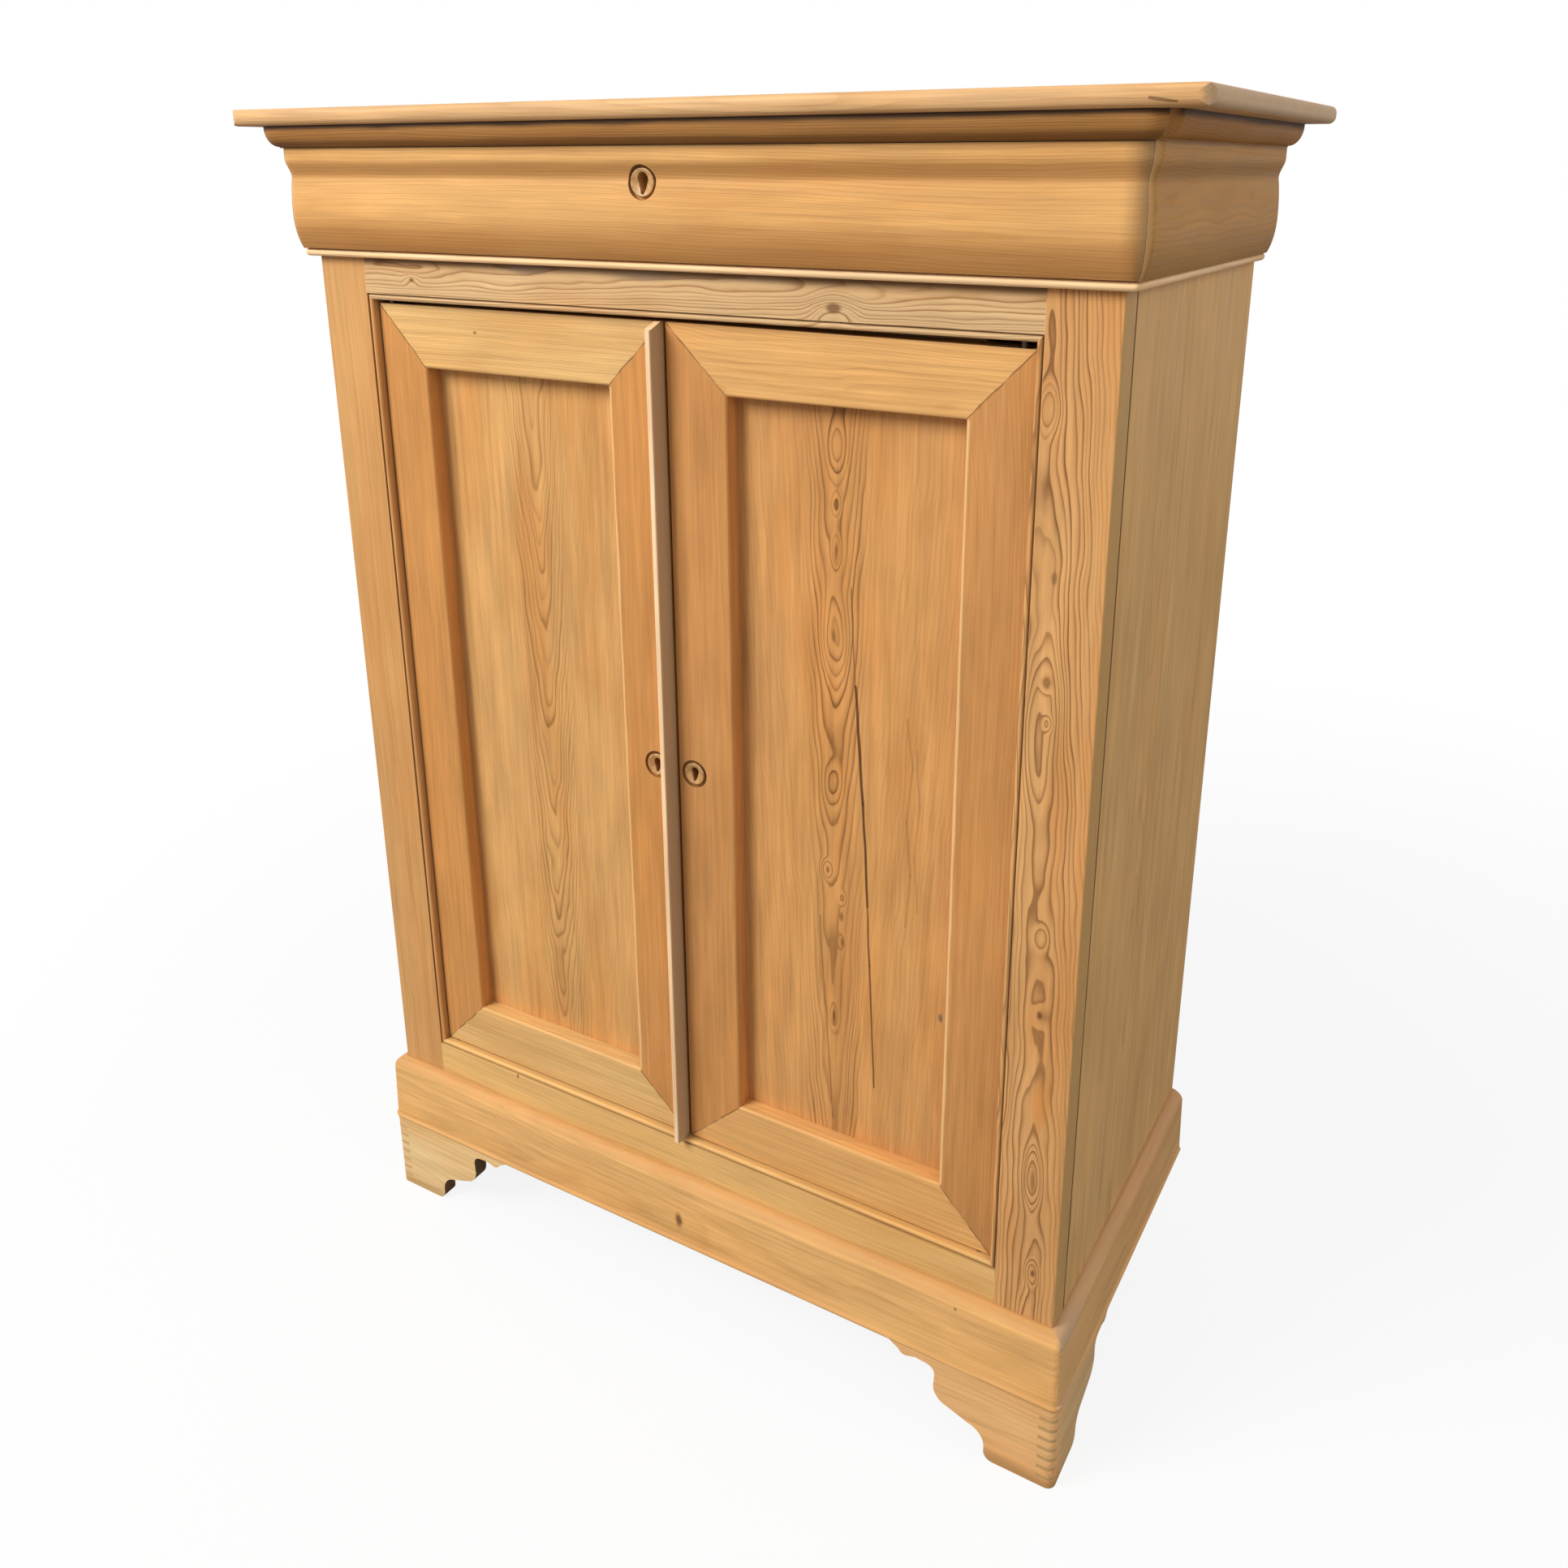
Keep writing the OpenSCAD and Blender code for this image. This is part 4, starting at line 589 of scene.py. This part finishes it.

# One board, one figure. Each board's pieces are named last.
boards = {
    # straight figure, greyer on the sawn end, with a short split in the front edge near the right corner
    "waxedPineTop": {
        "along": "x", "pith": (-0.12, 1.30), "ring": 3.4, "seed": 2.0, "tone": (0.93, 0.98, 1.10),
        "lateShare": 0.35, "fibre": 0.2, "streak": 3.5,
        "facing": [(rightward, "#B39A7C", 0.55)],
        "lines": [((0.480, -0.246, 1.3915), (0.500, -0.246, 1.3890), 1.1, "#6E4A24", 0.75)],
        "pieces": ["top_board"]},
    # darkened all over as painted shade under the top, with a painted shadow right under it and a dark line
    # along its foot
    "waxedPineOvoloFront": {
        "along": "x", "pith": (-0.20, 1.31), "ring": 2.8, "seed": 3.0, "tone": (0.56, 0.46, 0.32),
        "stainsAndShade": [levelBand(-0.24, 1.3860, 8, "#33200F", 0.95),
                   levelBand(-0.236, 1.3655, 6, "#4A2E16", 0.4)],
        "pieces": ["top_moulding_front"]},
    "waxedPineOvoloRight": {
        **ovoloSide, "pith": (1.30, 0.42), "seed": 3.5,
        "pieces": ["top_moulding_right"]},
    "waxedPineOvoloLeft": {
        **ovoloSide, "pith": (1.30, -0.42), "seed": 3.6,
        "pieces": ["top_moulding_left"]},
    # soft wavy figure, duller than the front, and darkened as painted shade
    "waxedPineCorniceRight": {
        **corniceSide, "pith": (1.315, 0.446), "seed": 4.0, "tone": (0.69, 0.61, 0.45),
        "pieces": ["cornice_right"]},
    "waxedPineCorniceLeft": {
        **corniceSide, "pith": (1.315, -0.446), "seed": 4.5, "tone": (0.72, 0.64, 0.50),
        "pieces": ["cornice_left"]},
    # pale, rubbed strip along the foot of the cornice
    "rubbedPineBead": {
        **bead, "along": "x", "pith": (-0.18, 1.22), "seed": 5.0, "tone": (1.14, 1.10, 1.0),
        "pieces": ["bead_front"]},
    "rubbedPineBeadSides": {
        **bead, "along": "y", "pith": (1.22, 0.42), "seed": 5.5, "tone": (1.04, 0.98, 0.86),
        "pieces": ["bead_right", "bead_left"]},
    # fine upright lines, orange from the wax
    "waxedPineStileLeft": {
        "along": "z", "pith": (-0.55, -0.10), "ring": 2.6, "seed": 6.0, "tone": (0.88, 0.81, 0.72),
        "lateShare": 0.35,
        "pieces": ["stile_left"]},
    # the liveliest board: ovals and arches of brown summer wood beside straight lines
    "waxedPineStileRight": {
        "along": "z", "pith": (0.4405, -0.184), "lean": -0.0347, "ring": 4.0, "taper": 0.03,
        "wander": 3, "sway": 3.4, "swayAcross": 34, "swayAlong": 11,
        "seed": 7.0, "band": (0, 0.4155, 26), "bandRest": 0.55,
        "tone": (0.96, 0.84, 0.70), "early": "#E4B67E", "late": "#7F5530", "lateShare": 0.95,
        "warmShare": 0.55, "relief": 0.35, "shadeAndDirt": 0.3,
        "swells": onFace(
            frameFace,
            (0.4005, 1.150, (17, 20, 36), -9), (0.4095, 0.865, (30, 34, 135), -15),
            (0.4110, 0.905, (10, 10, 17), 6), (0.4157, 0.868, (9, 9, 14), -6),
            (0.4220, 0.650, (13, 13, 24), -7), (0.4275, 0.375, (18, 18, 62), -12),
            (0.4330, 0.257, (12, 13, 26), -9)),
        "knots": onFace(frameFace, (0.4246, 0.565, 3.2)),
        "stainsAndShade": onFace(
            frameFace,
            (0.4298, 0.462, (14, 14, 40), "#DA8A3E", 0.5), (0.4340, 0.257, (4, 4, 7), "#6E4A2A", 0.8),
            (0.4280, 0.372, (3.5, 4, 18), "#7C532E", 0.6), (0.4136, 1.004, (4, 4, 9), "#6E4A2A", 0.6)),
        "facing": [(rightward, "#BF965C", 0.85)],
        "pieces": ["stile_right"]},
    # thin wavy brown lines, greyed where hands and dust have been, with a painted shadow along its top under
    # the bead
    "waxedPineFrieze": {
        "along": "x", "pith": (-0.178, 1.247), "ring": 2.6, "taper": 0.02, "wander": 4, "sway": 2.5,
        "seed": 8.0, "tone": (0.94, 0.98, 0.97), "early": "#E2B886", "late": "#9C683A", "lateShare": 0.95,
        "greyShare": 0.2,
        "knots": onFace(frameFace, (0.1932, 1.2235, 5.5), (-0.3236, 1.2283, 2.5)),
        "stainsAndShade": [levelBand(frameFace, 1.2530, 13, "#553619", 0.8, depth=60), *onFace(
            frameFace,
            (-0.161, 1.246, (34, 10, 9), "#7E6A58", 0.6), (-0.015, 1.244, (50, 10, 7), "#8A745E", 0.5))],
        "pieces": ["frieze_rail"]},
    # gentle lines on a light ground
    "waxedPineRailLow": {
        "along": "x", "pith": (-0.10, 0.15), "ring": 3.4, "seed": 9.0, "tone": (1.06, 1.11, 0.99),
        "lateShare": 0.25,
        "stainsAndShade": onFace(frameFace, (-0.2612, 0.2390, (2.5, 3, 5), "#7A4E28", 0.8)),
        "pieces": ["bottom_rail"]},
    # painted shade on its upward faces keeps the lit crown dim
    "waxedPinePlinth": {
        "along": "x", "pith": (-0.12, 0.12), "ring": 3.6, "seed": 10.0, "tone": (1.04, 1.05, 0.98),
        "early": "#E8B273", "late": "#B4783E", "lateShare": 0.25,
        "wornShare": 0.12, "mottle": 0.08, "fibre": 0.14,
        "stainsAndShade": [((-0.0036, -0.2160, 0.1412), (7, 8, 13), "#6A4526", 0.85),
                   ((0.3558, -0.2140, 0.1840), (2.5, 4, 2.5), "#7A4E28", 0.8)],
        "facing": [(upward, "#C08A50", 0.5)],
        "pieces": ["plinth_front"]},
    # pinker along the top, and rubbed pale at the right corner
    "waxedPinePlinthSides": {
        "along": "y", "pith": (0.12, 0.38), "ring": 3.6, "seed": 10.5, "lateShare": 0.25, "wornShare": 0.05,
        "stainsAndShade": [levelBand(0, 0.1990, 16, "#C69E7C", 0.4, depth=4000),
                   ((0.474, -0.185, 0.190), (30, 60, 18), "#C4A688", 0.5),
                   ((0.476, -0.210, 0.110), (40, 60, 10), "#D2A283", 0.6)],
        "pieces": ["plinth_right", "plinth_left"]},
    # feet scrubbed pale by floor cleaning, their sawn scrolls dark with dirt and painted shade
    "scrubbedPineFootLeft": {
        **footFront, "pith": (-0.14, 0.02), "seed": 11.0, "tone": (1.15, 1.25, 1.28), "early": "#E4BC86",
        "facing": [((0.8, 0, -0.6), *sawnScroll)],
        "stainsAndShade": [((-0.40, -0.2165, 0.0), (200, 60, 18), "#B08A58", 0.5)],
        "pieces": ["foot_front_left"]},
    "scrubbedPineFootRight": {
        **footFront, "pith": (-0.14, 0.03), "seed": 11.2, "tone": (1.17, 1.06, 0.95), "early": "#E2B882",
        "facing": [((-0.8, 0, -0.6), *sawnScroll)],
        "stainsAndShade": [((0.40, -0.2165, 0.0), (200, 60, 20), "#A87C4C", 0.6)],
        "pieces": ["foot_front_right"]},
    # the pins of their corner joints show as end grain in the front
    "scrubbedPineFootSideRight": {
        **footSide, "pith": (0.02, 0.40), "seed": 11.5, "tone": (1.02, 1.20, 1.45),
        "facing": [(forward, "#C79A64", 0.85), ((0, 0.8, -0.6), *sawnScroll)],
        "pieces": ["foot_side_right"]},
    "scrubbedPineFootSideLeft": {
        **footSide, "pith": (0.02, -0.40), "seed": 11.7,
        "facing": [(forward, "#D9AC78", 0.9), ((0, 0.8, -0.6), *sawnScroll)],
        "pieces": ["foot_side_left"]},
    # olive-brown sides with soft upright streaks, and the dark joint beside each stile
    "dulledPineSideRight": {
        **sideBoard, "pith": (0.38, -0.03), "seed": 12.0, "tone": (0.94, 0.98, 0.98),
        "lines": [((0.46, -0.1702, 0.200), (0.46, -0.1702, 1.250), 2.2, "#55391E", 0.85)],
        "pieces": ["side_right"]},
    "dulledPineSideLeft": {
        **sideBoard, "pith": (-0.38, -0.03), "seed": 12.5, "tone": (0.96, 0.95, 0.90),
        "lines": [((-0.46, -0.1702, 0.200), (-0.46, -0.1702, 1.250), 2.2, "#55391E", 0.85)],
        "pieces": ["side_left"]},
    # smooth swelling front with fine level streaks; painted shade darkens its hollow, its foot and its right
    # end, with a dark line along its top, and it is darker round the keyhole
    "waxedPineDrawer": {
        "along": "x", "pith": (-0.13, 1.12), "ring": 3.0, "wander": 5, "seed": 13.0,
        "tone": (0.93, 0.89, 0.73), "early": "#E6B277", "lateShare": 0.28,
        "wornShare": 0.1, "shadeAndDirt": 0.05, "fibre": 0.14, "mottle": 0.06,
        "facing": [(rightward, "#A08058", 0.6)],
        "stainsAndShade": [((0.480, -0.236, 1.31), (26, 300, 600), "#A47C4C", 0.75),
                   ((0.0, -0.239, 1.334), (18, 30, 19), "#8A5A30", 0.5),
                   levelBand(-0.236, 1.3400, 12, "#A9703A", 0.55),
                   levelBand(-0.230, 1.2600, 44, "#9C632E", 0.6),
                   levelBand(-0.232, 1.3670, 7, "#5E3A1B", 0.7)],
        "pieces": ["drawer_front"]},
    # door frames: the uprights are oranger than the rails, and dark round the keyholes
    "waxedPineStilesLeftDoor": {
        **doorStile, "pith": (-0.25, -0.08), "seed": 14.0, "tone": (0.95, 0.93, 0.82),
        "stainsAndShade": onFace(doorFace, (-0.028, 0.724, (15, 20, 16), "#8A5A30", 0.6)),
        "lines": leftDoorLines,
        "pieces": ["left_hinge_stile", "left_meeting_stile"]},
    "waxedPineStilesRightDoor": {
        **doorStile, "pith": (0.24, -0.08), "seed": 15.0, "tone": (0.90, 0.89, 0.85),
        "stainsAndShade": onFace(doorFace, (0.021, 0.724, (15, 20, 16), "#8A5A30", 0.6)),
        "lines": rightDoorLines,
        "pieces": ["right_hinge_stile", "right_meeting_stile"]},
    "waxedPineRailsLeftDoor": {
        **doorRail, "pith": (-0.12, 0.70), "ring": 3.0, "seed": 16.0, "tone": (0.95, 1.01, 1.00),
        "early": "#E9B676", "lateShare": 0.25,
        "knots": onFace(doorFace, (-0.2465, 1.1761, 1.6)),
        "lines": leftDoorLines,
        "pieces": ["left_top_rail", "left_bottom_rail"]},
    "waxedPineRailsRightDoor": {
        **doorRail, "pith": (-0.14, 1.14), "ring": 2.6, "taper": 0.02, "seed": 17.0,
        "tone": (1.00, 0.98, 0.87), "early": "#E6B072", "lateShare": 0.35,
        "lines": rightDoorLines,
        "pieces": ["right_top_rail", "right_bottom_rail"]},
    # panels: plain mottled wood each side of a strip of pointed arches
    "waxedPinePanelLeft": {
        **doorPanel, "pith": (-0.2035, -0.160), "lean": 0.010, "ring": 4.4, "taper": -0.10, "sway": 3.6,
        "swayAlong": 12, "seed": 18.0, "band": (0, -0.194, 28), "tone": (0.93, 0.87, 0.75),
        "late": "#946636", "lateShare": 0.8, "greyShare": 0.15, "warmShare": 0.55,
        "pieces": ["left_panel"]},
    "waxedPinePanelRight": {
        **doorPanel, "pith": (0.1825, -0.154), "ring": 4.6, "taper": -0.07, "sway": 2.6,
        "swayAlong": 11, "seed": 19.0, "band": (0, 0.183, 26), "tone": (0.96, 0.91, 0.83),
        "early": "#DDA466", "late": "#7E5228", "lateShare": 0.95, "greyShare": 0.2, "warmShare": 0.6,
        "swells": onFace(
            panelFace,
            (0.182, 1.090, (16, 20, 45), -9), (0.182, 1.036, (9, 20, 19), -7),
            (0.182, 0.989, (10, 20, 28), -7), (0.180, 0.895, (24, 30, 80), -12),
            (0.180, 0.742, (18, 20, 38), -9), (0.172, 0.641, (13, 20, 20), -9),
            (0.193, 0.612, (9, 20, 14), -7), (0.193, 0.559, (8, 20, 17), -7),
            (0.183, 0.464, (10, 20, 28), -8)),
        "stainsAndShade": onFace(
            panelFace,
            (0.182, 1.036, (3, 9, 8), "#7E5026", 0.7), (0.182, 0.989, (3, 9, 14), "#7E5026", 0.6),
            (0.180, 0.902, (2.5, 9, 10), "#7E5026", 0.6), (0.191, 0.590, (4, 9, 8), "#7E5026", 0.7),
            (0.193, 0.559, (3, 9, 9), "#6E4420", 0.7), (0.183, 0.464, (3, 9, 15), "#6A4220", 0.8),
            (0.3085, 0.505, (4, 9, 7), "#6A6258", 0.8)),
        "lines": panelLines,
        "pieces": ["right_panel"]},
    # front edge rubbed pale, its left side browner and its right side darkened as painted shade
    "rubbedPineBatten": {
        "along": "z", "pith": (0.06, -0.15), "ring": 2.6, "seed": 20.0, "tone": (1.12, 1.08, 1.0),
        "early": "#F8DCB8", "lateShare": 0.2, "shadeAndDirt": 0.1,
        "facing": [(rightward, "#B29470", 0.9), (leftward, "#D2A070", 0.8)],
        "pieces": ["meeting_batten"]},
    # bare, unwaxed boards out of sight, paler and less yellow
    "barePineBack": {
        **bareBoard, "along": "z", "pith": (0.1, 0.12), "ring": 4.0, "seed": 21.0,
        "pieces": ["back_boards", "back_post_left", "back_post_right"]},
    "barePineAcross": {
        **bareBoard, "along": "x", "pith": (0.1, 0.4), "ring": 4.0, "seed": 22.0,
        "pieces": ["back_rails", "floor_board", "shelves", "dust_board", "door_stops", "drawer_back",
                   "drawer_bottom"]},
    "barePineDeep": {
        **bareBoard, "along": "y", "pith": (0.9, 0.3), "ring": 3.6, "seed": 23.0,
        "pieces": ["cleats", "drawer_runners", "drawer_side_left", "drawer_side_right"]},
}
for name, board in boards.items():
    pieces = board.pop("pieces")
    finish(pineMaterial(name, board), *pieces)
finish(ringWoodMaterial(), "drawer_escutcheon", "left_escutcheon", "right_escutcheon")
finish(ironMaterial(), "pivot_sockets", "left_pivots", "right_pivots", "drawer_lock", "drawer_bolt",
       "right_lock", "right_bolt", "slide_bolt_guide", "slide_bolt")
print("finishes set:", len(boards) + 2)


# Plain pale floor and soft light from the front left
studio = {
    "floorSize": 14.0,
    "floorColour": "#8C8C8C",
    "floorShadow": 0.36,       # how much of the floor's shadow the camera sees
    "floorGlow": 0.88,         # keeps the open floor white for the camera
    "glowSpread": (1.0, 4.0),  # m from the cupboard over which that brightens to white
    "lamps": {                 # place and size in m, power in W
        "key": {"place": (-2.2, -3.3, 3.7), "size": 2.2, "power": 226},
        "side": {"place": (3.4, -0.8, 2.2), "size": 3.0, "power": 35},
    },
    "aim": (0, 0, 0.75),       # where both lamps point
    "fill": 0.42,              # light from all round
}


def makeFloor():
    half = studio["floorSize"] / 2
    mesh = bpy.data.meshes.new("floorSheet")
    corners = [(-half, -half, 0), (half, -half, 0), (half, half, 0), (-half, half, 0)]
    mesh.from_pydata(corners, [], [(0, 1, 2, 3)])
    sheet = bpy.data.objects.new("floorSheet", mesh)
    bpy.context.scene.collection.objects.link(sheet)
    material, tree, output = newMaterial("paleFloor")
    grey = hexColour(studio["floorColour"])
    plain = addNode(tree, "ShaderNodeBsdfDiffuse", {"Color": grey}).outputs[0]
    faint = addNode(tree, "ShaderNodeBsdfDiffuse", {
        "Color": [g * studio["floorShadow"] for g in grey[:3]] + [1]}).outputs[0]
    # the floor brightens away from the cupboard, so that no edge shows behind it
    place = addNode(tree, "ShaderNodeTexCoord").outputs["Object"]
    away = addNode(tree, "ShaderNodeVectorMath", {0: place}, operation="LENGTH").outputs["Value"]
    near, far = studio["glowSpread"]
    strength = addNode(tree, "ShaderNodeMapRange", {
        "Value": away, "From Min": near, "From Max": far,
        "To Min": studio["floorGlow"], "To Max": 1.0}).outputs[0]
    glow = addNode(tree, "ShaderNodeEmission", {"Color": white, "Strength": strength}).outputs[0]
    seen = addNode(tree, "ShaderNodeAddShader", {0: faint, 1: glow}).outputs[0]
    ray = addNode(tree, "ShaderNodeLightPath").outputs["Is Camera Ray"]
    body = addNode(tree, "ShaderNodeMixShader", {0: ray, 1: plain, 2: seen}).outputs[0]
    tree.links.new(body, output.inputs[0])
    mesh.materials.append(material)


def makeLamp(name, place, size, power):
    lamp = bpy.data.lights.new(name, "AREA")
    lamp.shape = "SQUARE"
    lamp.size = size
    lamp.energy = power
    holder = bpy.data.objects.new(name, lamp)
    holder.location = place
    holder.rotation_euler = (Vector(studio["aim"]) - Vector(place)).to_track_quat("-Z", "Y").to_euler()
    bpy.context.scene.collection.objects.link(holder)


def makeWorld():
    # white where the camera or a shine sees it, and the fill for everything else
    world = bpy.data.worlds.new("studioWorld")
    world.use_nodes = True
    tree = world.node_tree
    tree.nodes.clear()
    ray = addNode(tree, "ShaderNodeLightPath").outputs
    seen = addNode(tree, "ShaderNodeMath", {
        0: ray["Is Camera Ray"], 1: ray["Is Glossy Ray"]}, operation="MAXIMUM").outputs[0]
    seen = addNode(tree, "ShaderNodeMath", {
        0: seen, 1: ray["Is Transmission Ray"]}, operation="MAXIMUM").outputs[0]
    strength = addNode(tree, "ShaderNodeMapRange", {
        "Value": seen, "To Min": studio["fill"], "To Max": 1.0}).outputs[0]
    light = addNode(tree, "ShaderNodeBackground", {"Color": white, "Strength": strength})
    output = addNode(tree, "ShaderNodeOutputWorld")
    tree.links.new(light.outputs[0], output.inputs[0])
    bpy.context.scene.world = world


# The photograph's viewpoint, fitted to the cupboard's corners
view = {
    "place": (0.791, -1.2875, 1.344),
    "tilt": 71.769,    # degrees from straight down
    "turn": 29.796,    # degrees round the upright axis
    "lens": 31.213,    # mm
    "sensor": 36,      # mm
    "shift": (-0.01614, -0.10823),
}


def makeCamera():
    data = bpy.data.cameras.new("viewCamera")
    data.sensor_width = view["sensor"]
    data.lens = view["lens"]
    data.shift_x, data.shift_y = view["shift"]
    camera = bpy.data.objects.new("viewCamera", data)
    camera.location = view["place"]
    camera.rotation_euler = (radians(view["tilt"]), 0, radians(view["turn"]))
    bpy.context.scene.collection.objects.link(camera)
    bpy.context.scene.camera = camera


makeFloor()
for name, lamp in studio["lamps"].items():
    makeLamp(name, **lamp)
makeWorld()
makeCamera()
bpy.context.scene.view_settings.view_transform = "Standard"
print("studio set")
